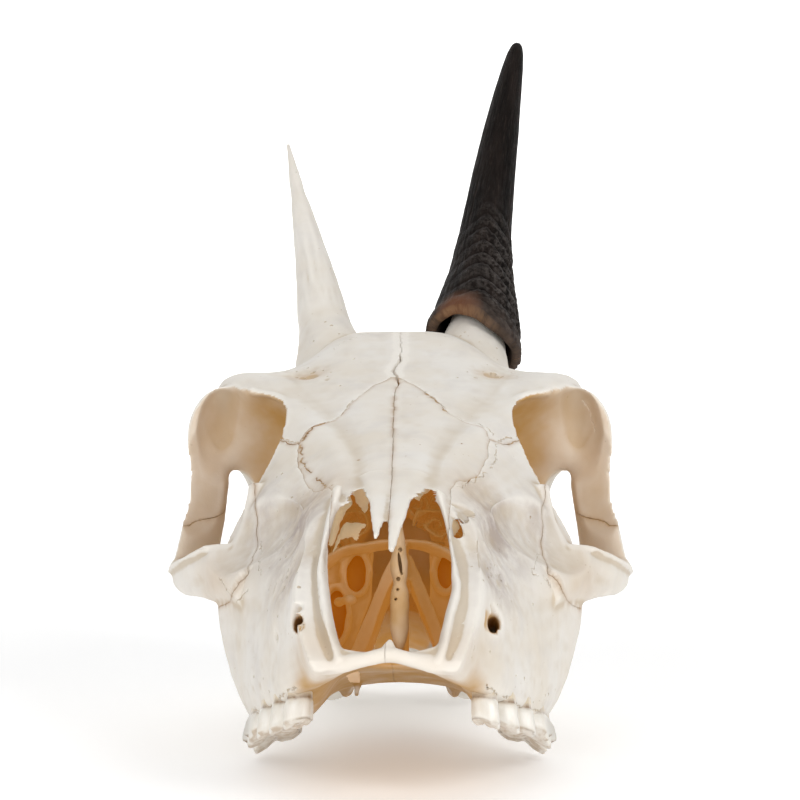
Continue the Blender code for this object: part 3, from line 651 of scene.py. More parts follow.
# %% What is cut out of the bone
ORBIT_CENTRE = Vector((30.5, 16.5, 49.8))
ORBIT_RADII = (18.0, 15.8, 16.6)
ORBIT_TURN = 27.0
INNER_RIM = {
    "right": [(-9.1, -32.1, 40.1), (-10.2, -34.8, 35.4), (-10.9, -40.1, 29.5), (-10.9, -44.1, 25.1),
              (-10.3, -47.3, 21.4), (-9.2, -52.4, 15.8), (-7.9, -56.1, 11.6), (-6.6, -57.6, 8.6)],
    "left": [(7.8, -32.5, 39.4), (9.1, -35.5, 34.5), (10.2, -41.2, 28.4), (10.7, -45.0, 24.1),
             (10.8, -47.3, 21.4), (9.9, -51.4, 16.9), (8.9, -56.1, 11.6), (7.6, -57.6, 8.4)],
}
FURROW = {
    "right": [(-11.9, -41.9, 28.6), (-12.1, -45.0, 24.9), (-11.8, -48.1, 21.2), (-11.0, -52.2, 16.6),
              (-9.7, -56.1, 12.2), (-8.4, -58.2, 9.0)],
    "left": [(11.3, -40.5, 30.1), (12.1, -44.1, 25.9), (12.3, -47.3, 22.2), (12.1, -50.9, 18.0),
             (11.1, -55.4, 13.1), (9.6, -58.2, 9.0)],
}
SMALL_HOLES = [
    ((-18.6, -34.0, 15.5), (0.9, 1.7, 0.7)),
    ((-17.0, 24.6, 70.9), (2.1, 1.5, 1.3)),
    ((17.0, 25.6, 71.4), (1.7, 1.5, 1.3)),
    ((13.8, 22.9, 69.9), (0.45, 0.6, 0.7)),
    ((-13.1, 21.5, 69.2), (0.45, 0.6, 0.7)),
]
FORAMINA = {-1: (-13.9, -45.5, 15.8), 1: (16.2, -37.5, 16.8)}
ORBIT_NOTCHES = [
    ((21.6, 15.4, 62.9), (0.7, 1.8, 0.6)), ((24.1, 17.4, 63.5), (0.6, 1.8, 0.7)),
    ((26.2, 18.6, 64.1), (0.5, 1.8, 0.8)), ((28.4, 19.4, 66.4), (1.2, 1.8, 1.0)),
    ((26.7, 0.2, 44.4), (0.6, 1.4, 0.6)), ((26.9, 0.2, 42.0), (0.5, 1.4, 0.5)),
]


def cut_orbit(side, home):
    """The eye socket, the temporal fossa behind it and the way between them."""
    centre = (side * ORBIT_CENTRE.x, ORBIT_CENTRE.y, ORBIT_CENTRE.z)
    blob("orbit", centre, ORBIT_RADII, home, (0, 0, -side * ORBIT_TURN), 64)
    blob("temporal", (side * 38.0, 52.0, 56.5), (11.5, 18.0, 15.5), home, segments=64)
    blob("window", (side * 29.5, 35.0, 44.0), (4.4, 12.0, 10.5), home)


def hollow_brow(side, home):
    """Hollows the bar and the brow from inside the eye socket and nicks the socket's edge."""
    centre = (side * ORBIT_CENTRE.x, ORBIT_CENTRE.y, ORBIT_CENTRE.z)
    blob("bowl", centre, (18.0, 13.6, 16.4), home, (0, 0, -side * ORBIT_TURN), 64)
    blob("brow", (side * 32.0, 20.0, 57.0), (5.6, 11.5, 12.0), home, segments=48)
    for (x, y, z), radii in ORBIT_NOTCHES:
        blob("notch", (side * x, y, z), radii, home, (0, 20, side * 15), 16)


def cut_face(side, home):
    """The hollow in front of the eye and the infraorbital foramen with its short trough."""
    blob("fossa", (side * 35.5, -20.0, 40.0), (18.0, 24.0, 14.0), home, (0, 0, -side * 14), 64)
    x, y, z = FORAMINA[side]
    blob("foramen", (x, y, z), (1.2, 8.0, 1.8), home, (0, side * 12, 0), 24)
    blob("trough", (x + 0.8 * side, y - 3.0, z + 1.8), (1.4, 4.5, 1.1), home, (-25, 0, 0), 24)


def cut_middle(home):
    """The nasal cavity with its aperture, the way out behind the palate, and the foramen magnum."""
    round_loft("nasal_cavity", NASAL_CAVITY, home, fullness=2.8)
    prism("aperture", APERTURE_EDGE + [(-80, 60), (-80, 3)], "X", -30, 30, home)
    channel = [(0, 2, 23), (0, 14, 20.5), (0, 26, 17.0), (0, 40, 13.0)]
    strut("choanae", channel, (8.0, 7.6, 7.2, 6.5), (6.0, 5.4, 5.5, 6.0), (1, 0, 0), home, count=40)
    blob("foramen_magnum", (0, 98.0, 36.0), (7.2, 16.0, 6.4), home)
    for place, radii in SMALL_HOLES:
        blob("small_hole", place, radii, home, (30, 0, 0), 16)


def worn_hole(home):
    """The hole worn through the thin wall of the snout on the left, with a ragged edge."""
    for i, (y, z, size) in enumerate([
        (-31.0, 38.4, 0.5), (-31.7, 37.6, 0.75), (-32.7, 36.8, 0.9), (-33.7, 35.8, 0.85), (-34.7, 34.6, 0.65),
        (-35.6, 33.7, 0.4), (-32.9, 35.4, 0.4), (-33.8, 36.9, 0.35),
    ]):
        blob(f"worn_{i}", (11.6, y, z), (2.6, size, size * 0.9), home, (0, 0, 20 * i), 12)


def add_thin_edges(home):
    """The free ends of the two nasal bones, the inner ridges of the rim and the peak between them."""
    right = [(-2.8, -23, 43.6), (-2.4, -31, 39.4), (-2.2, -38, 35.0), (-2.1, -45, 30.2)]
    left = [(2.0, -23, 43.6), (1.3, -31, 39.4), (0.9, -39, 34.4), (0.5, -47.5, 27.6)]
    strut("nasal_tip_right", right, (3.2, 2.0, 1.3, 0.45), (1.2, 1.0, 0.8, 0.5), (1, 0, 0), home)
    strut("nasal_tip_left", left, (3.5, 2.1, 1.6, 0.5), (1.2, 1.0, 0.9, 0.5), (1, 0, 0), home)
    for path in INNER_RIM.values():
        deeper = [(x, y + 0.9, z - 0.3) for x, y, z in path]
        thin = [0.75, 0.7, 0.7, 0.7, 0.8, 0.9, 1.0, 1.1]
        strut("inner_ridge", deeper, [2.3] * 8, thin, (0, 1, 0.35), home, 40)
    for path in FURROW.values():
        deeper = [(x, y + 3.2, z + 0.6) for x, y, z in path]
        strut("furrow_floor", deeper, [2.0, 2.2, 2.2, 2.2, 2.0, 1.6], [1.5] * 6, (1, 0, 0), home, 40)
    ledge = [(-10.0, -55.8, 8.4), (-7.0, -57.0, 8.5), (-3.2, -57.3, 9.2), (0.5, -57.3, 9.9),
             (4.2, -57.3, 9.2), (7.6, -57.0, 8.5), (10.6, -55.8, 8.4)]
    strut("ledge", ledge, [1.6, 1.6, 1.25, 1.2, 1.25, 1.6, 1.6], [1.3] * 7, (0, 0, 1), home, 60)
    strut("peak", [(0.5, -57, 9.6), (0.5, -56.6, 10.9), (0.7, -56, 12.5)], (2.0, 1.3, 0.4), (1.2, 1.0, 0.5),
          (1, 0, 0), home)
    strut("spur", [(-6.2, 4, 15.0), (-7.2, 5, 12.4), (-7.6, 5, 9.8)], (1.3, 0.7, 0.4), (1.0, 0.6, 0.4),
          (1, 0, 0), home)


# %% [markdown]
# ## One fine skull
#
# The masses are joined, the hollows cut, and the thin edges added last. A voxel remesh then flows all of
# it into one even skin of small faces, which a few smoothing steps soften. The tips of the horn cores
# would be lost at this grid size, so they were made as thick rods: here every point near a horn's axis is
# drawn in, as on a lathe, until the rod has the core's true taper.

# %% Build the whole bony skull
BONE_VOXEL = 0.4
SOFTENING = 4


def build_skull():
    """The bony skull as one closed body, before it is parted at its sutures."""
    masses = group("bone_masses")
    hollows = group("bone_hollows")
    edges = group("thin_edges")
    skull = loft("whole_skull", [face_ring(Station(*row)) for row in through(FACE, 96)])
    round_loft("braincase_mass", BRAINCASE, masses)
    for side_name, side in SIDES.items():
        bar = add_cheek(side, masses)
        wide, thin = (3.2, 4.7, 5.4, 5.0, 4.8, 4.8, 4.4), (1.6, 2.1, 2.0, 1.7, 1.6, 1.7, 1.9)
        strut("postorbital_bar", bar, wide, thin, (-side, 1, 0), edges, rings=44)
        add_orbit_rims(side, edges)
        add_skull_base(side, masses)
        add_horn_foot(side_name, masses)
        cut_orbit(side, hollows)
        cut_face(side, hollows)
    add_crest(masses)
    cut_middle(hollows)
    add_thin_edges(edges)
    boolean(skull, "UNION", masses)
    boolean(skull, "DIFFERENCE", hollows)
    boolean(skull, "UNION", edges)
    furrows = group("furrows")
    for path in FURROW.values():
        strut("furrow", path, [0.55, 0.75, 0.8, 0.8, 0.75, 0.5], [0.9] * 6, (1, 0, 0), furrows, 40, 16)
    worn_hole(furrows)
    for side in SIDES.values():
        hollow_brow(side, furrows)
    boolean(skull, "DIFFERENCE", furrows)
    skin_over(skull, BONE_VOXEL, SOFTENING)
    return skull


def turn_cores(points):
    """Draws the thick rods in to the taper of the horn cores."""
    for foot, direction in HORNS.values():
        offset = points - np.array(foot)
        place = offset @ np.array(direction)
        around = offset - place[:, None] * np.array(direction)
        radius = np.linalg.norm(around, axis=1)
        near = (place > 9) & (radius < 9)
        inside = np.clip(place, 0, CORE_LENGTH)
        shrink = core_radius(inside) / np.maximum(core_radius(inside), ROD_RADIUS)
        around[near] *= shrink[near][:, None]
        grain = np.stack([around[:, 0] * 1.4, around[:, 1] * 1.4, place * 0.13], axis=1)
        grooves = 0.15 * noise(grain, 1.3, 44, 2) * rise(place, 8, 16) * (1 - rise(place, 48, CORE_LENGTH))
        around[near] *= (1 + grooves / np.maximum(radius, 1.2))[near][:, None]
        moved = np.array(foot) + place[:, None] * np.array(direction) + around
        points = np.where(near[:, None], moved, points)
    return points


def on_left(points, places=None):
    """The points, or the directions at these places, with the right side mirrored over to the left."""
    side = np.where((points if places is None else places)[:, 0] < 0, -1.0, 1.0)
    return points * np.stack([side, np.ones(len(side)), np.ones(len(side))], axis=1)


def neighbour_mean(mesh, values):
    """The mean of every corner's neighbours, for numbers or for points."""
    a, b = read_all(mesh.edges, "vertices", 2, np.int32).T
    count = np.bincount(a, minlength=len(values)) + np.bincount(b, minlength=len(values))
    columns = values.reshape(len(values), -1)
    means = []
    for column in columns.T:
        total = np.bincount(a, column[b], len(values)) + np.bincount(b, column[a], len(values))
        means.append(total / np.maximum(count, 1))
    return np.stack(means, axis=1).reshape(values.shape)


def from_orbit(points):
    """The points seen from the middle of the left eye socket, and how many of its radii they lie away."""
    local = on_left(points) - np.array(ORBIT_CENTRE)
    turn = np.array(Euler((0, 0, -math.radians(ORBIT_TURN))).to_matrix())
    return local, np.linalg.norm((local @ turn) / ORBIT_RADII, axis=1)


def soften_orbits(obj, steps=110):
    """Melts the seams of the masses inside the eye sockets into one smooth bowl."""
    points = get_points(obj.data) / MM
    _, away = from_orbit(points)
    mask = rise(points[:, 1], 19, 24) * rise(points[:, 2], 51, 56) * (1 - rise(away, 1.02, 1.07))
    mask = (mask * (1 - rise(np.abs(points[:, 0]), 33.5, 36.5)))[:, None]
    for _ in range(steps):
        points += mask * (neighbour_mean(obj.data, points) - points)
    set_points(obj.data, points * MM)


skull = build_skull()
soften_orbits(skull)
set_points(skull.data, turn_cores(get_points(skull.data) / MM) * MM)
print("fine skull:", len(skull.data.polygons), "faces")

# %% [markdown]
# ## Life in the surface
#
# Real bone is never quite smooth. First come the broad hollows and ridges of this face, pushed in or out
# by a table of soft dents: the deep hollow in front of each eye, the ridge beside the nose, the furrow
# over each brow. Then slow undulations and finer lumps are added as noise. The bone is also rough and
# porous in a few places, which a mask marks for later steps.

# %% Model the surface with dents and noise
DENTS = [
    ((15.5, -17.0, 41.0), (4.5, 10, 5), -2.0),
    ((17.0, -27.0, 33.0), (5, 8, 5), -2.0),
    ((15.0, -39.5, 28.0), (4, 5, 4.5), -1.1),
    ((10.2, -25.0, 41.5), (1.5, 15, 3.0), 0.7),
    ((20.5, -33.0, 19.5), (5, 7, 4), 0.8),
    ((24.5, -14.0, 27.0), (5, 7, 3), 1.0),
    ((23.0, -5.0, 40.0), (3.5, 6, 6), 0.7),
    ((26.0, -7.0, 18.0), (5, 9, 6), -0.7),
    ((17.0, 25.5, 71.0), (5, 5, 4), -0.6),
    ((22.0, 22.0, 68.0), (6, 4, 4), 0.5),
    ((10.0, 36.0, 79.0), (6, 6, 5), 0.4),
    ((0.0, 6.0, 61.0), (4, 12, 5), -0.35),
    ((34.5, 22.0, 61.0), (4, 8, 8), -0.4),
    ((34.0, 8.0, 30.0), (7, 8, 2.6), -1.2),
]
ROUGH_PLACES = [
    ((17.0, -33, 25), (8, 11, 7), 1.0),
    ((17.0, -22, 38), (7, 12, 8), 0.6),
    ((17, 27, 71), (6, 5, 4), 0.8),
    ((14, 53, 80), (11, 10, 9), 0.7),
    ((25, -9, 38), (6, 8, 10), 0.45),
    ((12, 72, 20), (12, 20, 8), 0.5),
    ((18, 86, 40), (14, 10, 14), 0.5),
    ((22, -20, 8), (7, 26, 3.5), 0.7),
]


def spot(points, centre, reach):
    """1 at a place of the left side and at its mirror image, fading to 0 round it."""
    return np.exp(-(((on_left(points) - centre) / reach) ** 2).sum(1))


def near_places(points, places):
    """How much the points lie in these places: each has a centre, a reach and a strength."""
    mask = np.zeros(len(points))
    for centre, reach, strength in places:
        mask = np.maximum(mask, strength * spot(points, centre, reach))
    return mask


def get_normals(mesh):
    """The directions in which the mesh's corners face, as an array."""
    return read_all(mesh.vertices, "normal", 3).astype(float)


def push_out(mesh, points, lift):
    """Moves the corners by these lengths in the directions in which they face."""
    set_points(mesh, (points + get_normals(mesh) * lift[:, None]) * MM)


def model_surface(obj):
    """Moves the points of the skull along their normals."""
    mesh = obj.data
    points = get_points(mesh) / MM
    lift = np.zeros(len(points))
    for centre, reach, push in DENTS:
        lift += push * spot(points, centre, reach)
    lift += 0.20 * noise(points, 11.0, 3) + 0.10 * noise(points, 4.5, 11) + 0.03 * noise(points, 1.7, 19)
    lift += near_places(points, ROUGH_PLACES) * (0.18 * noise(points, 2.2, 29, 2) - 0.06)
    push_out(mesh, points, lift)


model_surface(skull)
print("surface modelled with", len(DENTS), "dents")

# %% [markdown]
# ## Pores
#
# Pores are holes where vessels entered the bone. There are hundreds, thick in the rough places and rare
# elsewhere, so they are scattered rather than placed. A Geometry Nodes tree spreads points over the
# surface, at least a set distance apart, sets a small ball on each and turns the balls into real geometry.
# The balls are then cut out of the bone. The tree has named inputs, so the size and the density can be
# changed without touching its nodes.

# %% Scatter the pores with Geometry Nodes
GROOVE_SLOT = 1
PORE_INPUTS = {"Density": 900000.0, "Smallest distance": 0.0007, "Radius": 0.00022, "Seed": 4}


def new_tree(name, inputs):
    """An empty Geometry Nodes tree with a geometry input and these numbers as named inputs."""
    tree = bpy.data.node_groups.new(name, "GeometryNodeTree")
    tree.interface.new_socket("Geometry", in_out="INPUT", socket_type="NodeSocketGeometry")
    for title, value in inputs.items():
        kind = "NodeSocketInt" if isinstance(value, int) else "NodeSocketFloat"
        tree.interface.new_socket(title, in_out="INPUT", socket_type=kind)
    tree.interface.new_socket("Geometry", in_out="OUTPUT", socket_type="NodeSocketGeometry")
    return tree, tree.nodes.new("NodeGroupInput").outputs, tree.nodes.new("NodeGroupOutput")


def node(tree, kind, links=None, **settings):
    """A new node with its settings, and with values or other sockets on its inputs."""
    made = tree.nodes.new(kind)
    for key, value in settings.items():
        setattr(made, key, value)
    feed(made, links or {})
    return made


def grow(obj, tree, inputs):
    """Runs a tree on an object and keeps the result as a plain mesh."""
    step = obj.modifiers.new(tree.name, "NODES")
    step.node_group = tree
    for item in tree.interface.items_tree:
        if item.item_type == "SOCKET" and item.in_out == "INPUT" and item.name in inputs:
            step[item.identifier] = inputs[item.name]
    apply_all(obj)
    return obj


def paint(mesh, name, values):
    """Stores one number per corner of a mesh."""
    layer = mesh.attributes.get(name) or mesh.attributes.new(name, "FLOAT", "POINT")
    layer.data.foreach_set("value", np.asarray(values, np.float32))


def finish_tree(tree, out, geometry, material):
    """Makes what the tree grew real, gives it its material and hands it out."""
    real = node(tree, "GeometryNodeRealizeInstances", {"Geometry": geometry})
    coat = node(tree, "GeometryNodeSetMaterial", {"Geometry": real.outputs["Geometry"], "Material": material})
    feed(out, {"Geometry": coat.outputs["Geometry"]})
    return tree


def stored(tree, name):
    """A number stored on the mesh."""
    made = node(tree, "GeometryNodeInputNamedAttribute", {"Name": name}, data_type="FLOAT")
    return made.outputs["Attribute"]


def pore_tree(material):
    """Balls scattered over a surface, dense where its attribute named rough is high."""
    tree, given, out = new_tree("scatter_pores", PORE_INPUTS)
    spread = node(tree, "GeometryNodeDistributePointsOnFaces", {
        "Mesh": given["Geometry"],
        "Distance Min": given["Smallest distance"],
        "Density Max": given["Density"],
        "Density Factor": stored(tree, "rough"),
        "Seed": given["Seed"],
    }, distribute_method="POISSON")
    ball = node(tree, "GeometryNodeMeshIcoSphere", {"Radius": given["Radius"], "Subdivisions": 2})
    size = node(tree, "FunctionNodeRandomValue", {2: 0.35, 3: 1.25, "Seed": given["Seed"]},
                data_type="FLOAT")
    balls = node(tree, "GeometryNodeInstanceOnPoints", {
        "Points": spread.outputs["Points"],
        "Instance": ball.outputs["Mesh"],
        "Scale": size.outputs[1],
    })
    return finish_tree(tree, out, balls.outputs["Instances"], material)


def dress(mesh, *materials):
    """Gives a mesh these materials, or else the two of bone: the surface and the grooves."""
    mesh.materials.clear()
    for material in materials or (BONE, GROOVE):
        mesh.materials.append(material)


def as_cutter(obj):
    """Marks every face of a cutter, so that what it leaves behind takes the groove material."""
    dress(obj.data)
    obj.data.polygons.foreach_set("material_index", [GROOVE_SLOT] * len(obj.data.polygons))


def cut_grooves(obj, cutters):
    """Cuts every object of a collection out of an object and lines the cuts with the groove material."""
    for cutter in cutters.objects:
        as_cutter(cutter)
    boolean(obj, "DIFFERENCE", cutters)


BONE = plain_material("bone", (0.78, 0.72, 0.63), 0.6)
GROOVE = plain_material("groove", (0.30, 0.17, 0.07), 0.8)
points = get_points(skull.data) / MM
elsewhere = 0.012 * (noise(points, 9.0, 71) > 0.25)
paint(skull.data, "rough", 0.42 * near_places(points, ROUGH_PLACES) ** 2 + elsewhere)
dress(skull.data)
pores = add_object("pores", skull.data.copy())
grow(pores, pore_tree(GROOVE), PORE_INPUTS)
BALL_FACES = 80
print("pores:", len(pores.data.polygons) // BALL_FACES)

# %% [markdown]
# ## Foramina, pits and fine cracks
#
# Some marks are in known places: the foramina over the brows, the pits in the furrow of the rim, the
# brown line where the gum once met the teeth, the fine joints of the jugal. Their places were measured on
# the photograph. Each is dropped onto the nearest point of the surface, so a rough measure is enough. A
# crack is a very thin strut that follows the surface and breaks off here and there.

# %% Cut the marks that have known places
GUM_LINE = [
    (14.9, -41.2, 6.8), (16.2, -38.6, 6.4), (18.2, -32.0, 6.0), (20.6, -26.8, 4.6), (22.0, -22.0, 4.2),
    (23.8, -15.6, 5.1), (24.8, -8, 5.2), (25.2, 2, 6.5), (24.6, 9, 7.6),
]
CRACKS = [
    (mirrored(GUM_LINE, -1), 0.20, 0.35), (GUM_LINE, 0.20, 0.35),
    ([(-30.5, -6.7, 28.8), (-28.6, -10.2, 26.1), (-27.1, -12.1, 24.2), (-24.5, -15.3, 26.0)], 0.11, 0.2),
    ([(-23.5, -6.3, 35.5), (-23.2, -10.2, 32.7), (-22.3, -18.6, 27.7)], 0.10, 0.5),
    ([(23.9, -8.5, 32.9), (22.2, -18.4, 28.3), (24.0, -15.4, 27.4), (25.1, -14.1, 26.1)], 0.11, 0.3),
    ([(-8.4, 10.5, 63.3), (-11.1, 5.0, 59.6), (-15.4, 1.3, 56.2), (-16.8, -0.8, 53.8)], 0.15, 0.35),
    ([(4.3, 14.0, 65.4), (7.2, 8.0, 61.9), (8.6, 5.0, 60.0), (13.0, 3.0, 57.9), (16.2, 0.3, 54.8)],
     0.15, 0.3),
    ([(-23.6, 9.8, 56.3), (-19.9, 3.5, 54.6), (-17.3, -0.5, 53.0)], 0.17, 0.25),
    ([(23.4, 9.5, 56.5), (19.8, 3.5, 55.2), (16.9, -0.3, 53.6)], 0.17, 0.25),
    ([(-17.1, -1.6, 52.6), (-16.5, -7.0, 49.0), (-14.2, -14.0, 45.2), (-11.2, -22.5, 41.8)], 0.13, 0.55),
    ([(16.7, -1.4, 52.9), (16.5, -6.0, 49.4), (14.5, -11.6, 46.0), (10.2, -26.0, 41.0)], 0.14, 0.5),
    ([(-13.4, -55.6, 16.0), (-13.2, -53.0, 15.2), (-13.6, -51.0, 13.0)], 0.09, 0.3),
    ([(12.4, -51.0, 14.2), (13.0, -50.0, 12.0), (12.6, -50.4, 10.4)], 0.12, 0.4),
    ([(33.4, 27.5, 66.5), (34.6, 27.6, 63.0), (33.9, 27.6, 60.0)], 0.08, 0.5),
    ([(-6.0, 41, 82.0), (-9.5, 36, 80.0), (-12.5, 33, 77.0)], 0.07, 0.5),
    ([(7.0, 43, 83.0), (8.5, 37, 80.2)], 0.07, 0.5),
]
PITS = [
    ((-17.6, 25.6, 70.7), 0.55), ((-16.2, 26.8, 71.8), 0.5), ((-18.8, 26.2, 71.0), 0.35),
    ((-14.3, 23.1, 69.8), 0.3), ((15.7, 27.2, 72.2), 0.5), ((17.2, 26.9, 71.5), 0.65),
    ((18.3, 26.3, 71.0), 0.4), ((13.8, 22.9, 69.9), 0.35), ((-13.1, 21.5, 69.1), 0.35),
    ((-7.9, 27.2, 73.3), 0.22), ((-4.6, 28.6, 74.3), 0.2), ((5.7, 27.1, 73.2), 0.25),
    ((10.4, 21.1, 69.3), 0.28), ((4.5, 15.3, 66.1), 0.2), ((-18.1, -31.0, 26.1), 0.3),
    ((-16.2, -39.6, 24.1), 0.35), ((-14.9, -44.0, 24.6), 0.3), ((-14.2, -46.8, 21.8), 0.3),
    ((-17.4, -35.1, 23.4), 0.35), ((-15.5, -41.4, 22.6), 0.3), ((17.8, -32.7, 25.0), 0.28),
    ((16.6, -37.4, 25.3), 0.28), ((-12.0, -56.4, 11.4), 0.3), ((-9.2, -57.8, 9.2), 0.28),
    ((-11.9, -43.6, 27.0), 0.35), ((-12.0, -46.4, 23.6), 0.28), ((-11.8, -48.4, 21.2), 0.35),
    ((-11.6, -49.8, 19.8), 0.3), ((-11.2, -51.9, 17.4), 0.25), ((11.9, -43.4, 27.3), 0.3),
    ((12.2, -46.2, 24.2), 0.4), ((12.2, -48.6, 21.6), 0.42), ((12.0, -50.6, 19.0), 0.3),
    ((11.5, -53.6, 15.6), 0.36), ((10.6, -56.4, 12.2), 0.25), ((-13.0, 49.6, 84.0), 0.3),
    ((-9.9, 53.0, 93.0), 0.25), ((-17.2, 52.0, 89.0), 0.25),
]


def surface_finder(obj):
    """A function that gives the point of the surface nearest to a place in millimetres."""
    tree = bvhtree.BVHTree.FromObject(obj, bpy.context.evaluated_depsgraph_get())

    def nearest(place):
        found = tree.find_nearest(Vector(place) * MM)
        return found[0] / MM

    return nearest


def add_crack(path, radius, gaps, seed, nearest, home):
    """A thin wandering strut along the surface, broken up by gaps."""
    rng = np.random.default_rng(seed)
    count = max(8, int(np.linalg.norm(np.diff(np.asarray(path), axis=0), axis=1).sum() / 0.55))
    line = [nearest(p + rng.uniform(-0.32, 0.32, 3)) for p in through(path, count)]
    start = 0
    while start < count - 3:
        length = int(rng.integers(5, 14))
        piece = line[start:start + length]
        if len(piece) > 3:
            sizes = radius * rng.uniform(0.6, 1.35, len(piece))
            sizes[0] = sizes[-1] = radius * 0.3
            strut("crack", [tuple(p) for p in piece], sizes, sizes, (0.3, 0.2, 1), home, len(piece) * 2, 8)
        start += length + (int(rng.integers(1, 4)) if rng.random() < gaps else -1)


def cut_marks(skull):
    """Cuts cracks, pits and pores out of the surface."""
    nearest = surface_finder(skull)
    marks = group("marks")
    for i, (path, radius, gaps) in enumerate(CRACKS):
        add_crack(path, radius, gaps, 100 + i, nearest, marks)
    for i, (place, radius) in enumerate(PITS):
        squash = 0.7 + 0.5 * ((i * 37) % 10) / 10
        blob("pit", nearest(place), (radius * 1.25, radius * squash, radius), marks, (i * 40, i * 25, 0), 14)
    bpy.context.scene.collection.objects.unlink(pores)
    marks.objects.link(pores)
    cut_grooves(skull, marks)


cut_marks(skull)
print("cracks:", len(CRACKS), "pits:", len(PITS), "faces of the skull:", len(skull.data.polygons))

# %% [markdown]
# ## Sutures
#
# The bones of a skull meet in sutures, thin joints that wander like a river. Each one here is a thin slab
# cut right through the bone along a line that is made to wander by a seeded random walk. Cutting, rather
# than painting, lets every bone be a body of its own, as it is in the solids. The slabs are a hair wide,
# and wider where the photograph shows an open crack, as at the top of the midline.

# %% Lines that wander
MIDLINE = [(-66, 0), (-48, -0.2), (-32, -0.4), (-12, -0.9), (0, -1.1), (20, -0.9), (45, -0.1), (70, 0.0)]
CORONAL_SUTURE = [(68, 96), (62, 76), (46, 48), (38, 26), (33, -5)]
MIDLINE_JOGS = [
    (14, 0.0), (18.5, 0.9), (20.5, 0.2), (23, -0.4), (25.5, -0.3), (28, 0.4), (31, 0.8), (45, 0.2),
]
BROW_SUTURE = [
    (-14, 66), (-3, 54.5), (0, 53.2), (5, 54.8), (10, 56.2), (14, 52), (20, 46.5), (26, 42.8), (32.5, 47.5),
    (40, 48), (50, 47),
]
JUGAL_SUTURE = [(26.0, 49.6), (24.9, 44), (24.3, 36), (25.2, 28.5), (28.5, 25), (60, 22)]
NASAL_HALF_WIDTH = [
    (-62, 9.4), (-28, 9.8), (-22, 11.3), (-12, 14.8), (-7, 16.2), (-1.5, 16.6), (0.5, 15.9), (2.5, 13.8),
    (5, 9.9), (8, 8.3), (10.5, 7.2), (14, 5.3), (17, 3.4), (20, 0.8),
]
NASAL_THICKNESS = 3.0
HAIR = 0.06


def sideways(path):
    """The direction square to a flat path at each of its points."""
    ahead = np.gradient(path, axis=0)
    ahead /= np.linalg.norm(ahead, axis=1)[:, None]
    return np.stack([-ahead[:, 1], ahead[:, 0]], axis=1)


def wander(line, step, sway, seed):
    """The line in short steps, each moved sideways by a smooth random amount."""
    line = np.asarray(line, float)
    lengths = np.linalg.norm(np.diff(line, axis=0), axis=1)
    walked = np.concatenate([[0], np.cumsum(lengths)])
    count = max(int(walked[-1] / step), 2)
    where = np.linspace(0, walked[-1], count + 1)
    path = np.stack([np.interp(where, walked, line[:, 0]), np.interp(where, walked, line[:, 1])], axis=1)
    rng = np.random.default_rng(seed)
    shift = rng.uniform(-1, 1, count + 1) * sway
    shift = 0.6 * shift + 0.2 * np.roll(shift, 1) + 0.2 * np.roll(shift, -1)
    return path + sideways(path) * shift[:, None], rng.uniform(0.6, 1.5, count + 1)


def band(path, widths):
    """The outline of a band along a path, with its width at each point."""
    side = sideways(path) * (np.asarray(widths)[:, None] / 2)
    return [tuple(p) for p in np.vstack([path + side, (path - side)[::-1]])]


def suture_slab(name, line, axis, low, high, home, sway, seed, step=1.3, width=HAIR):
    """A thin slab along a wandering line."""
    path, widths = wander(line, step, sway, seed)
    return prism(name, band(path, widths * width), axis, low, high, home)


def face_height(y, x):
    """The height of the face's surface at this place, above its widest part."""
    columns = np.array(FACE).T
    roof, flat, drop, waist_x, waist_z = (float(np.interp(y, columns[0], columns[i])) for i in range(1, 6))
    return float(np.interp(abs(x), [0, flat, waist_x], [roof, roof - drop, waist_z]))


def nasal_block(name, home):
    """The block of the roof that the two nasal bones take, with its arched underside."""
    rng = np.random.default_rng(5)
    rings = []
    for y in np.linspace(-60, 20, 81):
        half = float(along_table(NASAL_HALF_WIDTH, y))
        middle = float(along_table(MIDLINE, y))
        left, right = rng.uniform(-0.3, 0.3, 2) * (0.35 + 0.65 * rise(y, -4, 1))
        roof = face_height(y, 0)
        under = []
        for u in (-1, -0.8, -0.5, 0, 0.5, 0.8, 1):
            away = middle + u * half + (right if u < 0 else left) * abs(u)
            under.append((away, y, face_height(y, away) - NASAL_THICKNESS))
        rings.append(under + [(middle + half + left, y, roof + 12), (middle - half + right, y, roof + 12)])
    return loft(name, rings, home)


def cut_round_nasals(home):
    """The thin gaps round the two nasal bones and down the middle of the face."""
    shell = nasal_block("nasal_gap", home)
    wall = shell.modifiers.new("Wall", "SOLIDIFY")
    wall.thickness = HAIR * MM
    wall.offset = 1
    apply_all(shell)
    rng = np.random.default_rng(8)
    places = np.arange(-90, 70, 0.8)
    upper = rise(places, 14, 17)
    x = along_table(MIDLINE, places) + along_table(MIDLINE_JOGS, places)
    x += rng.uniform(-0.2, 0.2, len(places)) * (0.25 + 0.75 * upper)
    open_part = rise(places, 16.5, 18.5) * (1 - rise(places, 27.5, 31))
    x += open_part * 0.25 * noise(np.stack([places, places * 0, places * 0], axis=1), 1.9, 6)
    widths = HAIR * (0.9 + 0.5 * upper) * rng.uniform(0.7, 1.4, len(places))
    widths += 0.62 * open_part * rng.uniform(0.35, 1.2, len(places))
    outline = band(np.stack([places, x], axis=1), widths)
    blade = prism("midline", [(x, y) for y, x in outline], "Z", -5, 96)
    front = group("front_of_coronal")
    edge = [(y + 0.7, z) for y, z in CORONAL_SUTURE] + [(-95, -5), (-95, 96)]
    prism("front", edge, "X", -5, 5, front)
    boolean(blade, "INTERSECT", front)
    bpy.context.scene.collection.objects.unlink(blade)
    home.objects.link(blade)


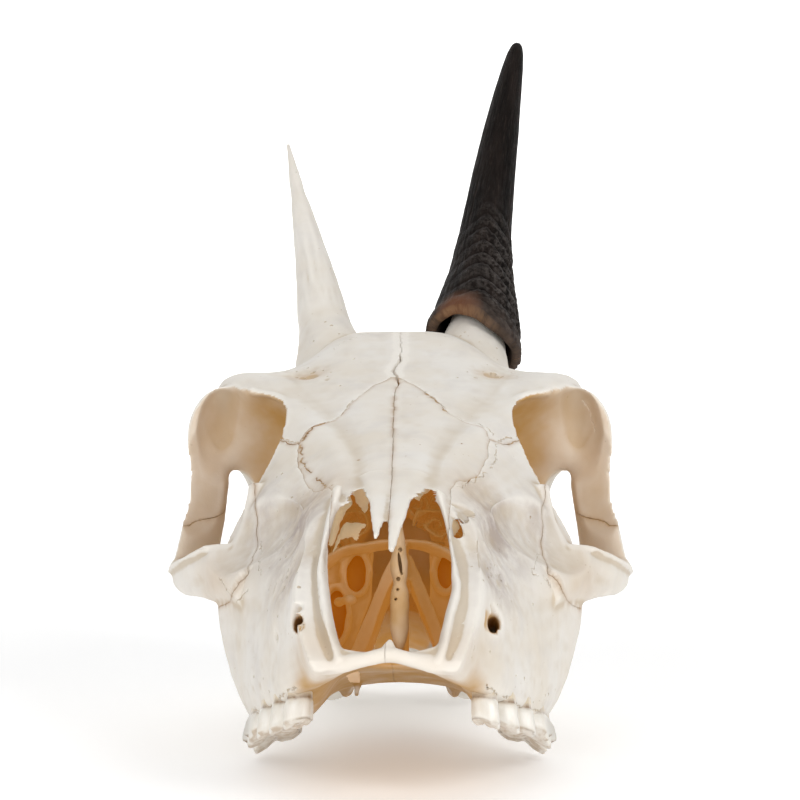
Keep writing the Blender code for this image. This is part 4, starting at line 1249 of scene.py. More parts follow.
def cut_off_braincase(home):
    """The thin gap behind the face."""
    suture_slab("coronal", CORONAL_SUTURE, "X", -60, 60, home, 0.5, 21)


def cut_up_face(home):
    """The thin gaps between the frontals, the maxillae and the jugals."""
    suture_slab("brow", BROW_SUTURE, "X", -60, 60, home, 0.4, 33, 1.0)
    for i, side in enumerate(SIDES.values()):
        line = [(side * x, z) for x, z in JUGAL_SUTURE]
        suture_slab("jugal", line, "Y", -30, 60, home, 0.5, 41 + i, 1.0, 0.045)


print("suture slabs are", HAIR, "mm wide")

# %% [markdown]
# ## Parting the bones
#
# The skull is parted in three stages, because a slab that is right for one bone would run on through the
# next. After each cut the loose bodies are separated, the bones of that stage are named by a point that
# is known to lie on them, and the rest goes on to the next stage.

# %% Part the skull and name the bones
BONE_POINTS = {
    "braincase": (0, 88, 54),
    "frontal": (14, 30, 74),
    "nasal": (6, -12, 51),
    "maxilla": (20, -28, 16),
    "zygomatic": (39, 20, 33),
}


def loose_parts(obj):
    """Separates an object into its loose bodies, without the crumbs."""
    for other in bpy.context.selected_objects:
        other.select_set(False)
    bpy.context.view_layer.objects.active = obj
    obj.select_set(True)
    bpy.ops.object.mode_set(mode="EDIT")
    bpy.ops.mesh.select_all(action="SELECT")
    bpy.ops.mesh.separate(type="LOOSE")
    bpy.ops.object.mode_set(mode="OBJECT")
    parts = []
    for part in list(bpy.context.selected_objects):
        part.select_set(False)
        if len(part.data.polygons) > 600:
            parts.append(part)
        else:
            bpy.data.objects.remove(part)
    return parts


def join(parts, name, *materials):
    """Several objects as one, with these materials or else the two of bone."""
    bm = bmesh.new()
    for part in parts:
        bm.from_mesh(part.data)
        bpy.data.objects.remove(part)
    joined = keep_bmesh(name, bm)
    dress(joined.data, *materials)
    return joined


def distance_to(obj, point):
    """How far the nearest corner of an object lies from a point in millimetres."""
    return np.linalg.norm(get_points(obj.data) / MM - point, axis=1).min()


def part_bones(skull):
    """The bones of the skull by name."""
    stages = (
        (cut_round_nasals, ["nasal"]),
        (cut_off_braincase, ["braincase"]),
        (cut_up_face, ["frontal", "maxilla", "zygomatic"]),
    )
    bones = {}
    for add_slabs, wanted in stages:
        slabs = group("slabs")
        add_slabs(slabs)
        cut_grooves(skull, slabs)
        parts = loose_parts(skull)
        for bone in wanted:
            for side_name, side in SIDES.items():
                name = bone if bone == "braincase" else f"{bone}_{side_name}"
                if name in bones:
                    continue
                place = np.array(mirrored([BONE_POINTS[bone]], side)[0])
                nearest = min(parts, key=lambda part: distance_to(part, place))
                parts.remove(nearest)
                bones[name] = nearest
        if parts:
            skull = join(parts, "rest_of_skull")
    for name, bone in bones.items():
        bone.name = f"fine_{name}"
    return bones


bones = part_bones(skull)
for name, bone in bones.items():
    print(name, len(bone.data.polygons), "faces")

# %% [markdown]
# ## The cheek teeth
#
# A duiker has six upper cheek teeth on each side: three premolars and three larger molars. Each is a
# column with sharp upright folds on the cheek side, called styles, and rounded lobes on the tongue side.
# The chewing face is a landscape of crescents: crests of hard enamel round hollows of softer dentine. One
# function gives the outline of a tooth at any height, another the relief of its chewing face, and a loop
# makes all twelve with small differences in turn and wear.

# %% Model the tooth rows
Tooth = namedtuple("Tooth", "name length middle width lobes")
TEETH = [
    Tooth("P2", 7.0, 14.9, 4.9, 1),
    Tooth("P3", 7.8, 17.2, 6.4, 1),
    Tooth("P4", 7.8, 19.2, 7.8, 1),
    Tooth("M1", 9.6, 20.8, 9.2, 2),
    Tooth("M2", 10.8, 21.4, 9.8, 2),
    Tooth("M3", 10.6, 21.2, 9.0, 2),
]
TOOTH_ROW_FRONT = -39.0
CROWN = [(11.0, 0.80), (8.0, 0.81), (6.0, 0.83), (5.1, 0.85), (4.8, 0.89), (4.5, 0.925), (3.8, 0.95),
         (3.0, 0.97), (2.2, 0.985), (1.5, 1.0), (0.9, 1.0), (0.45, 0.985)]
TOOTH_SPOKES = 72
CAP_RINGS = 12


def bump(u, centre, reach):
    """1 at the centre, fading to 0 on both sides of it."""
    return math.exp(-((u - centre) / reach) ** 2)


def tooth_outline(tooth, fold):
    """The outline of one tooth seen from below, as shares of its width and of its length."""
    outline = []
    for k in range(TOOTH_SPOKES):
        angle = 2 * math.pi * k / TOOTH_SPOKES
        c, s = math.cos(angle), math.sin(angle)
        u = math.copysign(abs(s) ** 0.62, s) * 0.5
        v = math.copysign(abs(c) ** 0.72, c) * 0.5
        if c > 0:
            if tooth.lobes == 2:
                styles = bump(u, -0.46, 0.07) + 0.85 * bump(u, -0.02, 0.07) + 0.6 * bump(u, 0.44, 0.07)
                ribs = bump(u, -0.25, 0.08) + 0.7 * bump(u, 0.21, 0.08)
            else:
                styles = bump(u, -0.42, 0.09) + 0.45 * bump(u, 0.42, 0.09)
                ribs = 1.1 * bump(u, -0.12, 0.10)
            v += fold * (0.15 * styles + 0.05 * ribs - 0.09) * min(1.0, 2.5 * c)
        else:
            cleft = bump(u, 0, 0.09) if tooth.lobes == 2 else 0.35 * bump(u, 0, 0.2)
            v += fold * 0.17 * cleft * min(1.0, -2.0 * c)
        outline.append((v, u))
    return outline


def edge_height(tooth, u):
    """How much higher than the tips of its cusps the lower edge of the tooth stands here."""
    centres, reach = ((-0.25, 0.22), 0.13) if tooth.lobes == 2 else ((-0.08,), 0.24)
    highest = 1.7 if tooth.lobes == 2 else 0.8
    return highest * (1 - max(math.exp(-0.5 * ((u - centre) / reach) ** 2) for centre in centres))


def chewing_relief(tooth, v, u):
    """How far the chewing face stands below the biting plane at this place of the tooth."""
    centres = (-0.24, 0.23) if tooth.lobes == 2 else (-0.02,)
    reach = 0.15 if tooth.lobes == 2 else 0.26
    relief = -0.25 - edge_height(tooth, u)
    for centre in centres:
        away = ((u - centre) / reach) ** 2
        outer = 0.2 * bump(v, 0.38 - 0.10 * away, 0.12) * math.exp(-0.6 * away)
        inner = 0.3 * bump(v, 0.16 * away - 0.30, 0.10) * math.exp(-0.3 * away)
        pit = 0.8 * bump(v, 0.04 - 0.07 * away, 0.10) * math.exp(-away / 0.64)
        relief += outer + inner - pit
    return relief


def add_tooth(tooth, front, side, rng, home):
    """One tooth in the skull's frame, standing in the row with a little turn of its own."""
    turn = math.radians(rng.uniform(-4, 4))
    wear = rng.uniform(-0.3, 0.1)
    middle = front + tooth.length / 2
    slope = float(np.interp(middle, [-36, 10], [1.2, 3.9]))

    def place(v, u, scale, z, on_wall=False):
        x, y = v * tooth.width * scale, u * tooth.length * scale
        x, y = x * math.cos(turn) - y * math.sin(turn), x * math.sin(turn) + y * math.cos(turn)
        slant = 0.05 * (6 - z)
        z += slope * (0.5 - v * scale) * min(1.0, max(0.0, (6.5 - z) / 5.5))
        if on_wall:
            z += edge_height(tooth, u) * min(1.0, max(0.0, (4.5 - z) / 3.5))
        return side * (tooth.middle + x + slant), middle + y, z

    rows = []
    for z, scale in CROWN:
        fold = 0.35 + 0.65 * min(1.0, max(0.0, (5.2 - z) / 1.2))
        rows.append([place(v, u, scale, z, True) for v, u in tooth_outline(tooth, fold)])
    for ring in range(CAP_RINGS):
        scale = 0.96 * (1 - ring / CAP_RINGS)
        row = []
        for v, u in tooth_outline(tooth, scale**3):
            depth = chewing_relief(tooth, v * scale, u * scale) - wear
            round_off = 0.25 * max(0.0, (scale - 0.86) / 0.10)
            row.append(place(v, u, scale, round_off - depth))
        rows.append(row)
    return loft(tooth.name, rows, home)


def add_tooth_row(side_name):
    """The six teeth of one side as one object."""
    side = SIDES[side_name]
    rng = np.random.default_rng(60 + side)
    home = group("row")
    front = TOOTH_ROW_FRONT
    for tooth in TEETH:
        add_tooth(tooth, front, side, rng, home)
        front += tooth.length + 0.1
    row = join(list(home.objects), f"cheek_teeth_{side_name}")
    bpy.data.collections.remove(home)
    return row


teeth = {side_name: add_tooth_row(side_name) for side_name in SIDES}
for side_name, row in teeth.items():
    print("teeth", side_name, len(row.data.polygons), "faces")

# %% [markdown]
# ## Painting by shape
#
# The colour of old bone follows its shape. Grease and dust stay round sutures and pits, the hollows are
# darkened with painted shade and the ridges are painted lighter. The inside of the eye sockets and of the
# nose is warm and brown, because light hardly reached it; in the nose and under the palate, part of this
# brown and a faint glow are painted light for daylight that comes through the thin bone. So the colours
# aren't drawn by hand. Each corner of the mesh gets a few numbers, which tell the material how stained,
# how deep inside, how worn and how raised it is.

# %% Give every corner its numbers
TAN_PLACES = [
    ((17, 25.6, 71), (2.6, 2.0, 2.2), 0.7), ((36, -8, 29), (9, 14, 6), 0.45),
    ((13.4, -25, 45), (5, 9, 6), 0.40), ((0, -50, 10), (9, 9, 5), 0.40), ((8, -50, 10), (9, 9, 5), 0.40),
]


def groove_corners(mesh):
    """1 at every corner of a groove face and 0 elsewhere."""
    slots = read_all(mesh.polygons, "material_index", kind=np.int32)
    loops = read_all(mesh.loops, "vertex_index", kind=np.int32)
    totals = read_all(mesh.polygons, "loop_total", kind=np.int32)
    marked = np.zeros(len(mesh.vertices))
    marked[loops[np.repeat(slots == GROOVE_SLOT, totals)]] = 1
    return marked


def inside_nose(points):
    """How far inside the nose the points lie: 0 outside, 1 deep in it."""
    edge_y, edge_z = zip(*APERTURE_EDGE)
    behind = points[:, 1] - np.interp(points[:, 2], edge_z, edge_y)
    rows = np.array([[s.y, s.half, s.bottom, s.top] for s in NASAL_CAVITY])
    half, bottom, top = (np.interp(points[:, 1], rows[:, 0], rows[:, i]) for i in (1, 2, 3))
    across = np.abs(points[:, 0]) / half
    upright = np.abs(points[:, 2] - (top + bottom) / 2) / ((top - bottom) / 2)
    away = (across**2.8 + upright**2.8) ** (1 / 2.8)
    near = 1 - rise(away, 1.03, 1.10)
    under_skull = rise(points[:, 1], 6, 14) * (1 - rise(points[:, 2], 18, 22))
    beyond = np.maximum(under_skull, rise(points[:, 1], 30, 38))
    return near * rise(behind, 3.0, 30.0) * (1 - beyond)


def inside_orbit(points, normals):
    """How far inside the eye socket the points lie, deepest towards the middle of the head."""
    local, away = from_orbit(points)
    near = 1 - rise(away, 1.15, 1.30)
    facing = -(local * on_left(normals, points)).sum(1) / np.linalg.norm(local, axis=1)
    return near * rise(facing, 0.0, 0.35) * (0.46 + 0.54 * rise(-np.abs(points[:, 0]), -32, -22))


def inside_foramen(points, normals):
    """1 on the walls of the infraorbital foramen and 0 elsewhere."""
    inside = np.zeros(len(points))
    for centre in FORAMINA.values():
        away = points - centre
        near = 1 - rise(np.hypot(away[:, 0] / 1.3, away[:, 2] / 1.8), 0.85, 1.2)
        facing = -(away[:, 0] * normals[:, 0] + away[:, 2] * normals[:, 2])
        inside = np.maximum(inside, near * rise(facing, 0.1, 0.9) * (np.abs(away[:, 1]) < 9))
    return inside


def standing_out(mesh, points, normals, steps):
    """How far every corner stands out from the mean of what lies round it."""
    smooth = points
    for _ in range(steps):
        smooth = neighbour_mean(mesh, smooth)
    return ((points - smooth) * normals).sum(1)


def paint_teeth(mesh):
    """Stores where the roots and the worn chewing faces of the teeth are, and a brown that is strongest in
    their hollows and along the gum line.
    """
    points, normals = get_points(mesh) / MM, get_normals(mesh)
    # low marks the hollows of the teeth, which the material makes darker and browner.
    low = rise(-standing_out(mesh, points, normals, 5), 0.01, 0.10)
    wobble = noise(points, 1.6, 61, 2)
    gum = np.exp(-(((points[:, 2] - 5.2 - 0.5 * wobble) / 0.45) ** 2))
    paint(mesh, "root", rise(points[:, 2] + 0.4 * wobble, 4.6, 6.0))
    paint(mesh, "stain", np.clip(0.75 * low + 0.6 * gum * rise(wobble, -0.2, 0.5), 0, 1))
    paint(mesh, "worn", rise(-normals[:, 2], 0.35, 0.8) * (1 - rise(points[:, 2], 3.0, 5.0)))


def paint_bone(mesh):
    """Stores what the bone's material needs, for a mesh that is still in the skull's frame."""
    points, normals = get_points(mesh) / MM, get_normals(mesh)
    # How far each corner stands out, for the painted shade in the hollows and the lighter ridges.
    relief = standing_out(mesh, points, normals, 10)
    stain = groove_corners(mesh)
    for _ in range(5):
        stain = np.maximum(stain, 0.86 * neighbour_mean(mesh, stain))
    off_groove = 1 - np.clip(6 * stain, 0, 1)
    stain *= 0.45 + 0.55 * rise(noise(points, 7.0, 53), -0.5, 0.4)
    brows = near_places(points, [((17, 26, 71), (5, 4, 4), 1.0)])
    stain = np.clip(stain * (0.75 + 0.5 * brows), 0, 1)
    # Inside the nose the bone is amber, and the glow painted on it is painted light for daylight through the
    # thin walls.
    nose, orbit = inside_nose(points), inside_orbit(points, normals)
    nose *= 1 - rise(points[:, 2], 26, 32) * rise(normals[:, 2], -0.2, 0.1)
    # The underside of the palate is painted amber: painted light for daylight that comes through it.
    palate = (1 - rise(np.abs(points[:, 0]), 13, 17)) * (1 - rise(points[:, 2], 15, 19))
    palate *= rise(points[:, 1], -54, -42)
    palate *= rise(-normals[:, 2], 0.0, 0.5) * (1 - rise(points[:, 1], 40, 50))
    brown = np.maximum(np.maximum(orbit, palate), inside_foramen(points, normals))
    brown = np.maximum(brown, near_places(points, TAN_PLACES))
    paint(mesh, "stain", stain)
    # amber is brown inside the sockets and nose, at the foramina and tan places, and painted light under the
    # palate; glow is painted light inside the nose.
    paint(mesh, "amber", np.clip(np.maximum(nose, brown), 0, 1))
    paint(mesh, "glow", nose)
    # fossa: a pinkish grey painted shade in the hollow in front of each eye, kept off the inside of the nose
    paint(mesh, "fossa", near_places(points, [
        ((16.5, -24, 35), (6, 15, 10), 1.0), ((17, -36, 25), (6, 9, 5), 0.8), ((24, -7, 40), (4, 8, 9), 0.5),
    ]) * (1 - nose))
    # relief is 0.5 on flat bone, lower in the hollows and higher on the ridges: the material paints shade
    # into the hollows and paints the ridges lighter from it
    paint(mesh, "relief", np.clip(0.5 + relief * 2.2 * np.where(relief > 0, off_groove, 1), 0, 1))


for name, bone in bones.items():
    paint_bone(bone.data)
for row in teeth.values():
    paint_teeth(row.data)
print("bones painted:", len(bones))

# %% [markdown]
# ## The material of bone
#
# The material mixes ivory with a slow, cloudy warmth, then lays the painted numbers over it: a pinkish
# grey painted shade in the hollow in front of each eye, painted shade in the other hollows with lighter
# ridges, tan round the stains, amber inside the nose. A fine bump and tiny dark specks stand for what is
# too small to model. Daylight comes through the thin walls of the nose, and a faint warm glow on them
# stands for it: painted light, which also turns the amber there a deeper orange.

# %% Mix bone, groove and enamel
def mix(factor, first, second):
    """Mixes two colours by a factor. Each colour is a value or a socket."""
    colours = {6: first, 7: second}
    for index, colour in colours.items():
        if not isinstance(colour, bpy.types.NodeSocket):
            colours[index] = (*colour, 1)
    return node(factor.id_data, "ShaderNodeMix", {0: factor, **colours}, data_type="RGBA").outputs[2]


def remap(value, low, high, to_low=0.0, to_high=1.0, **settings):
    """Stretches a number from one span to another, within its ends."""
    made = node(value.id_data, "ShaderNodeMapRange", {
        "Value": value, "From Min": low, "From Max": high, "To Min": to_low, "To Max": to_high,
    }, **settings)
    return made.outputs["Result"]


def times(first, second):
    """The product of two numbers."""
    return node(first.id_data, "ShaderNodeMath", {0: first, 1: second}, operation="MULTIPLY").outputs["Value"]


def number_of(tree, name):
    """The painted number of this name."""
    return node(tree, "ShaderNodeAttribute", attribute_name=name).outputs["Fac"]


def clouds(tree, scale, detail=3.0, rough=0.55, stretch=None):
    """Noise over the object's own coordinates."""
    place = node(tree, "ShaderNodeTexCoord").outputs["Object"]
    if stretch:
        place = node(tree, "ShaderNodeMapping", {"Vector": place, "Scale": stretch}).outputs["Vector"]
    made = node(tree, "ShaderNodeTexNoise", {
        "Vector": place, "Scale": scale, "Detail": detail, "Roughness": rough,
    })
    return made.outputs["Fac"]


def grain(height, strength, distance):
    """A fine bump of this height."""
    links = {"Height": height, "Strength": strength, "Distance": distance}
    return node(height.id_data, "ShaderNodeBump", links).outputs["Normal"]


def make_bone(material):
    """Old ivory bone with its stains, painted shade in its hollows, lighter ridges and a painted glow inside
    the nose.
    """
    tree = material.node_tree
    slow = remap(clouds(tree, 70.0), 0.38, 0.68)
    warm = mix(times(slow, 0.65), (0.79, 0.755, 0.70), (0.72, 0.64, 0.525))
    colour = mix(remap(clouds(tree, 150.0, 4.0), 0.5, 0.72, 0, 0.45), warm, (0.665, 0.625, 0.585))
    # Painted shade: a pinkish grey in the hollow in front of each eye.
    fossa_shade = times(number_of(tree, "fossa"), remap(clouds(tree, 230.0, 5.0, 0.65), 0.3, 0.6))
    colour = mix(fossa_shade, colour, (0.42, 0.35, 0.315))
    # Painted shade darkens the hollows towards brown, and the ridges are painted lighter.
    colour = mix(remap(number_of(tree, "relief"), 0.52, 0.28, 0, 0.55), colour, (0.50, 0.39, 0.25))
    colour = mix(remap(number_of(tree, "relief"), 0.55, 0.9, 0, 0.6), colour, (0.88, 0.84, 0.77))
    blot = times(number_of(tree, "stain"), remap(clouds(tree, 420.0, 3.0), 0.30, 0.50))
    colour = mix(times(blot, 0.95), colour, (0.38, 0.20, 0.07))
    # Amber where it is painted, turning a deeper orange where the glow is set: painted light for daylight
    # through the thin bone of the nose.
    deep = times(number_of(tree, "amber"), remap(clouds(tree, 120.0, 3.0), 0.25, 0.6, 0.65, 1.0))
    colour = mix(deep, colour, mix(number_of(tree, "glow"), (0.50, 0.285, 0.085), (0.60, 0.29, 0.045)))
    place = node(tree, "ShaderNodeTexCoord").outputs["Object"]
    cells = node(tree, "ShaderNodeTexVoronoi", {"Vector": place, "Scale": 620.0})
    speck = remap(cells.outputs["Distance"], 0.13, 0.05)
    rare = remap(clouds(tree, 190.0, 2.0), 0.55, 0.66, 0, 0.55)
    # The emission is a painted glow inside the nose, for daylight through its thin bone.
    feed(shader_of(material), {
        "Base Color": mix(times(speck, rare), colour, (0.40, 0.28, 0.16)),
        "Emission Color": (0.80, 0.40, 0.07, 1),
        "Emission Strength": times(number_of(tree, "glow"), 0.16),
        "Roughness": remap(clouds(tree, 300.0), 0.3, 0.7, 0.5, 0.72),
        "Normal": grain(clouds(tree, 1500.0, 4.0, 0.7), 0.22, 0.0002),
        "Specular IOR Level": 0.3,
    })


def make_groove(material):
    """Brown grease in the sutures, pits and pores."""
    grease = remap(clouds(material.node_tree, 260.0), 0.35, 0.65)
    feed(shader_of(material), {"Base Color": mix(grease, (0.30, 0.16, 0.06), (0.56, 0.40, 0.22))})


def make_enamel(material):
    """White enamel over yellow roots, brown where it is worn, in its hollows and along the gum line."""
    tree = material.node_tree
    streak = remap(clouds(tree, 900.0, 3.0, 0.6, (1, 1, 0.25)), 0.35, 0.65)
    colour = mix(times(streak, 0.5), (0.84, 0.81, 0.75), (0.72, 0.66, 0.56))
    colour = mix(times(number_of(tree, "root"), 0.8), colour, (0.68, 0.56, 0.39))
    dentine = times(number_of(tree, "worn"), remap(clouds(tree, 500.0), 0.4, 0.6, 0.1, 0.6))
    colour = mix(dentine, colour, (0.42, 0.29, 0.17))
    brown = times(number_of(tree, "stain"), remap(clouds(tree, 700.0), 0.3, 0.55, 0.3, 1.0))
    colour = mix(times(brown, 0.9), colour, (0.22, 0.12, 0.055))
    feed(shader_of(material), {"Base Color": colour, "Specular IOR Level": 0.5})


ENAMEL = plain_material("enamel", (0.84, 0.81, 0.75), 0.3)
make_bone(BONE)
make_groove(GROOVE)
make_enamel(ENAMEL)
print("bone material has", len(BONE.node_tree.nodes), "nodes")

# %% [markdown]
# ## The horn sheath
#
# A horn sheath grows from its base, so it carries its history as rings. In this species the rings run as
# chevrons: they rise to a keel on the front of the horn and slope down both sides. That is a rule, so the
# sheath is made in two steps. A plain tapering tube is lofted first, and each corner remembers how far up
# the horn it is and at which angle round it. A Geometry Nodes tree then raises the rings, the keel and the
# fibres by a formula, with spacing, height and slant as named inputs.

# %% Raise the rings of the sheath
SHEATH_LENGTH = 92.0
SHEATH_CLEARANCE = 0.45
SHEATH_RADII = [
    (0, 8.6), (5, 8.75), (9, 8.5), (13, 7.9), (23, 6.15), (34, 5.15), (49, 4.4), (64, 3.65), (76, 2.85),
    (84, 2.2), (88.5, 1.7), (90.8, 1.2), (91.7, 0.7), (92, 0.15),
]
KEEL_ANGLE = math.radians(86)
SHEATH_INPUTS = {
    "Ring spacing": 3.9, "Ring height": 0.95, "Ring slant": 3.6, "Ringed length": 44.0,
    "Keel height": 0.9, "Fibre depth": 0.22, "Lip roll": 0.6,
}


def rim_height(angle):
    """How far up the horn the sheath's rim stands. The angle is 0 on the outer side of the head and a
    quarter turn at the front."""
    arch = np.maximum(0.0, np.cos(angle - math.radians(118))) ** 2
    inner = np.maximum(0.0, -np.cos(angle)) ** 4
    back = np.maximum(0.0, -np.sin(angle)) ** 2
    side = np.maximum(0.0, np.cos(angle)) ** 2
    return 1.2 + 5.2 * arch + 3.4 * inner + 4.2 * back + 1.5 * side


def plain_sheath(spokes=168, rows=300):
    """A smooth tube that rolls over at its rim and lines the core, with its place stored on it."""
    foot, direction = HORNS["left"]
    outward = (Vector((1, 0, 0)) - direction * direction.x).normalized()
    forward = outward.cross(direction)
    if forward.y > 0:
        forward = -forward
    angles = np.linspace(0, 2 * math.pi, spokes, endpoint=False)
    rim = rim_height(angles) + 0.25 * np.sin(7 * angles) * np.sin(3 * angles + 1)
    around = np.outer(np.cos(angles), outward) + np.outer(np.sin(angles), forward)
    places, radii = np.array(SHEATH_RADII).T
    rings, along, outer = [], [], []
    for row in range(rows + 1):
        share = (row / rows) ** 0.9
        at = SHEATH_LENGTH + (rim - SHEATH_LENGTH) * share
        rings.append((at, np.interp(at, places, radii)))
        outer.append(1.0)
    for turn in np.linspace(0.15, 1, 7):
        wall = np.interp(rim, places, radii)
        lining = core_radius(rim) + SHEATH_CLEARANCE + 1.5
        middle, half = (wall + lining) / 2, (wall - lining) / 2
        rings.append((rim - half * 0.9 * math.sin(math.pi * turn), middle + half * math.cos(math.pi * turn)))
        outer.append(0.6 * (1 - turn))
    for share in np.linspace(0, 1, 26)[1:]:
        at = rim + (CORE_LENGTH + 1.0 - rim) * share
        flare = 1.5 * np.maximum(0, 1 - (at - rim) / 9)
        rings.append((at, core_radius(at) + SHEATH_CLEARANCE + flare))
        outer.append(0.0)
    points = []
    for at, radius in rings:
        bow = -0.9 * 4 * (at / SHEATH_LENGTH) * (1 - at / SHEATH_LENGTH)
        axis = np.array(foot) + np.outer(at, direction) + np.outer(bow, outward)
        points.append(axis + around * radius[:, None])
        along.append(at)
    sheath = loft("horn_sheath_fine", [[tuple(p) for p in ring] for ring in points])
    ends = 2
    paint(sheath.data, "along", np.append(np.concatenate(along), [SHEATH_LENGTH, CORE_LENGTH + 1.0]))
    paint(sheath.data, "around", np.append(np.tile(angles, len(rings)), [0.0] * ends))
    paint(sheath.data, "above_rim", np.append(np.concatenate([at - rim for at in along]), [80.0] * ends))
    paint(sheath.data, "outer", np.append(np.repeat(outer, spokes), [1.0, 0.0]))
    return sheath


def calculate(tree, operation, *values):
    """The result of one math node."""
    made = node(tree, "ShaderNodeMath", dict(enumerate(values)), operation=operation)
    return made.outputs["Value"]


def fade(value, low, high):
    """A number that runs smoothly from 0 at low to 1 at high."""
    return remap(value, low, high, interpolation_type="SMOOTHSTEP")


def on_horn(around, along, across, lengthwise, start=0.0):
    """A place for noise on the horn, with its own scale round it and along it."""
    tree = around.id_data
    return node(tree, "ShaderNodeCombineXYZ", {
        "X": times(calculate(tree, "COSINE", around), across),
        "Y": times(calculate(tree, "SINE", around), across),
        "Z": calculate(tree, "MULTIPLY_ADD", along, lengthwise, start),
    }).outputs["Vector"]


def noise_on_horn(tree, across, lengthwise, seed):
    """Noise from -1 to 1 over the horn."""
    place = on_horn(stored(tree, "around"), stored(tree, "along"), across, lengthwise, seed)
    made = node(tree, "ShaderNodeTexNoise", {"Vector": place, "Scale": 1.0, "Detail": 4.0})
    return calculate(tree, "MULTIPLY_ADD", made.outputs["Fac"], 2.0, -1.0)


def sheath_tree(material):
    """Rings, keel, rolled lip and fibres on a smooth horn sheath."""
    tree, given, out = new_tree("grow_rings", SHEATH_INPUTS)
    step = partial(calculate, tree)
    along, above, outer = stored(tree, "along"), stored(tree, "above_rim"), stored(tree, "outer")
    off_keel = step("SUBTRACT", stored(tree, "around"), KEEL_ANGLE)
    off_keel = step("ABSOLUTE", step("WRAP", off_keel, math.pi, -math.pi))
    wobble = times(noise_on_horn(tree, 1.6, 0.16, 3.0), 1.7)
    slanted = step("MULTIPLY_ADD", off_keel, given["Ring slant"], along)
    phase = step("DIVIDE", step("ADD", slanted, wobble), given["Ring spacing"])
    wave = step("ABSOLUTE", step("SINE", times(phase, math.pi)))
    wave = step("POWER", wave, 0.65)
    fading = step("SUBTRACT", 1.0, fade(slanted, 28.0, given["Ringed length"]))
    fading = times(fading, fade(above, 1.5, 4.5))
    turned = step("COSINE", step("SUBTRACT", stored(tree, "around"), 0.2))
    fading = times(fading, remap(turned, -0.4, 0.6, 0.14, 1.15))
    knobs = times(noise_on_horn(tree, 7.0, 0.5, 9.0), 0.35)
    ring = times(step("ADD", step("ADD", wave, -0.6), knobs), fading)
    ring = times(ring, given["Ring height"])
    keel = step("POWER", step("MAXIMUM", step("COSINE", off_keel), 0.0), 10.0)
    keel = times(keel, step("SUBTRACT", 1.0, fade(along, 26.0, 62.0)))
    keel = times(keel, given["Keel height"])
    lip = step("SUBTRACT", 1.0, fade(above, 1.0, 4.0))
    lip = times(lip, given["Lip roll"])
    worn = step("SUBTRACT", 1.0, fade(along, 45.0, 80.0))
    worn = step("MULTIPLY_ADD", worn, 0.8, 0.2)
    fibres = times(noise_on_horn(tree, 13.0, 0.10, 1.0), given["Fibre depth"])
    fibres = times(fibres, worn)
    frayed = times(noise_on_horn(tree, 15.0, 0.4, 5.0), times(lip, 0.8))
    fibres = step("ADD", fibres, frayed)
    lift = step("ADD", step("ADD", ring, keel), step("ADD", lip, fibres))
    lift = times(times(lift, outer), MM)
    normal = node(tree, "GeometryNodeInputNormal").outputs["Normal"]
    offset = node(tree, "ShaderNodeVectorMath", {0: normal, "Scale": lift}, operation="SCALE")
    moved = node(tree, "GeometryNodeSetPosition", {
        "Geometry": given["Geometry"], "Offset": offset.outputs["Vector"],
    })
    kept = node(tree, "GeometryNodeStoreNamedAttribute", {
        "Geometry": moved.outputs["Geometry"], "Name": "crest",
        "Value": times(wave, fading),
    }, data_type="FLOAT", domain="POINT")
    return finish_tree(tree, out, kept.outputs["Geometry"], material)


HORN = plain_material("horn", (0.03, 0.025, 0.022), 0.5)
sheath = plain_sheath()
grow(sheath, sheath_tree(HORN), SHEATH_INPUTS)
print("sheath:", len(sheath.data.polygons), "faces")

# %% [markdown]
# ## The material of horn
#
# Horn is the same stuff as hoof and nail: dark, fibrous and a little shiny where it is rubbed. Its streaks
# follow the length of the horn, so the noise is stretched along the stored place. The crests of the rings
# are painted a lighter grey, and the young horn at the rim is brown, with red where it is thinnest.

# %% Mix the colours of horn
RIM_FRONT = 1.95


def make_horn(material):
    """Dark fibrous horn with a brown rim."""
    tree = material.node_tree
    along, around = number_of(tree, "along"), number_of(tree, "around")

    def streaks(across, lengthwise, detail):
        return node(tree, "ShaderNodeTexNoise", {
            "Vector": on_horn(around, along, across, lengthwise), "Scale": 1.0, "Detail": detail,
            "Roughness": 0.65,
        }).outputs["Fac"]

    dark = remap(streaks(2.0, 0.05, 3.0), 0.35, 0.65)
    colour = mix(dark, (0.0045, 0.0035, 0.003), (0.016, 0.011, 0.009))
    colour = mix(remap(streaks(14.0, 0.22, 4.0), 0.56, 0.72, 0, 0.4), colour, (0.07, 0.052, 0.044))
    # The crests of the rings are painted a lighter grey.
    crest_grey = times(number_of(tree, "crest"), remap(streaks(9.0, 1.3, 4.0), 0.42, 0.62))
    colour = mix(times(crest_grey, 0.45), colour, (0.13, 0.115, 0.105))
    rim = remap(number_of(tree, "above_rim"), 5.0, 1.2)
    patchy = remap(streaks(3.0, 0.3, 3.0), 0.35, 0.6, 0.4, 1.0)
    colour = mix(times(rim, patchy), colour, (0.075, 0.056, 0.046))
    front = calculate(tree, "COSINE", calculate(tree, "SUBTRACT", around, RIM_FRONT))
    young = times(rim, remap(front, 0.84, 0.99, 0, 0.75))
    colour = mix(young, colour, (0.17, 0.07, 0.035))
    edge = remap(number_of(tree, "above_rim"), 0.2, -0.3)
    edge = times(edge, remap(front, 0.5, 0.98, 0.08, 0.7))
    edge = times(edge, remap(streaks(12.0, 0.8, 4.0), 0.4, 0.55, 0.35, 1.0))
    feed(shader_of(material), {
        "Base Color": mix(edge, colour, (0.26, 0.15, 0.08)),
        "Roughness": remap(streaks(10.0, 0.3, 4.0), 0.3, 0.7, 0.45, 0.75),
        "Normal": grain(streaks(26.0, 0.5, 5.0), 0.6, 0.0003),
        "Specular IOR Level": 0.05,
    })


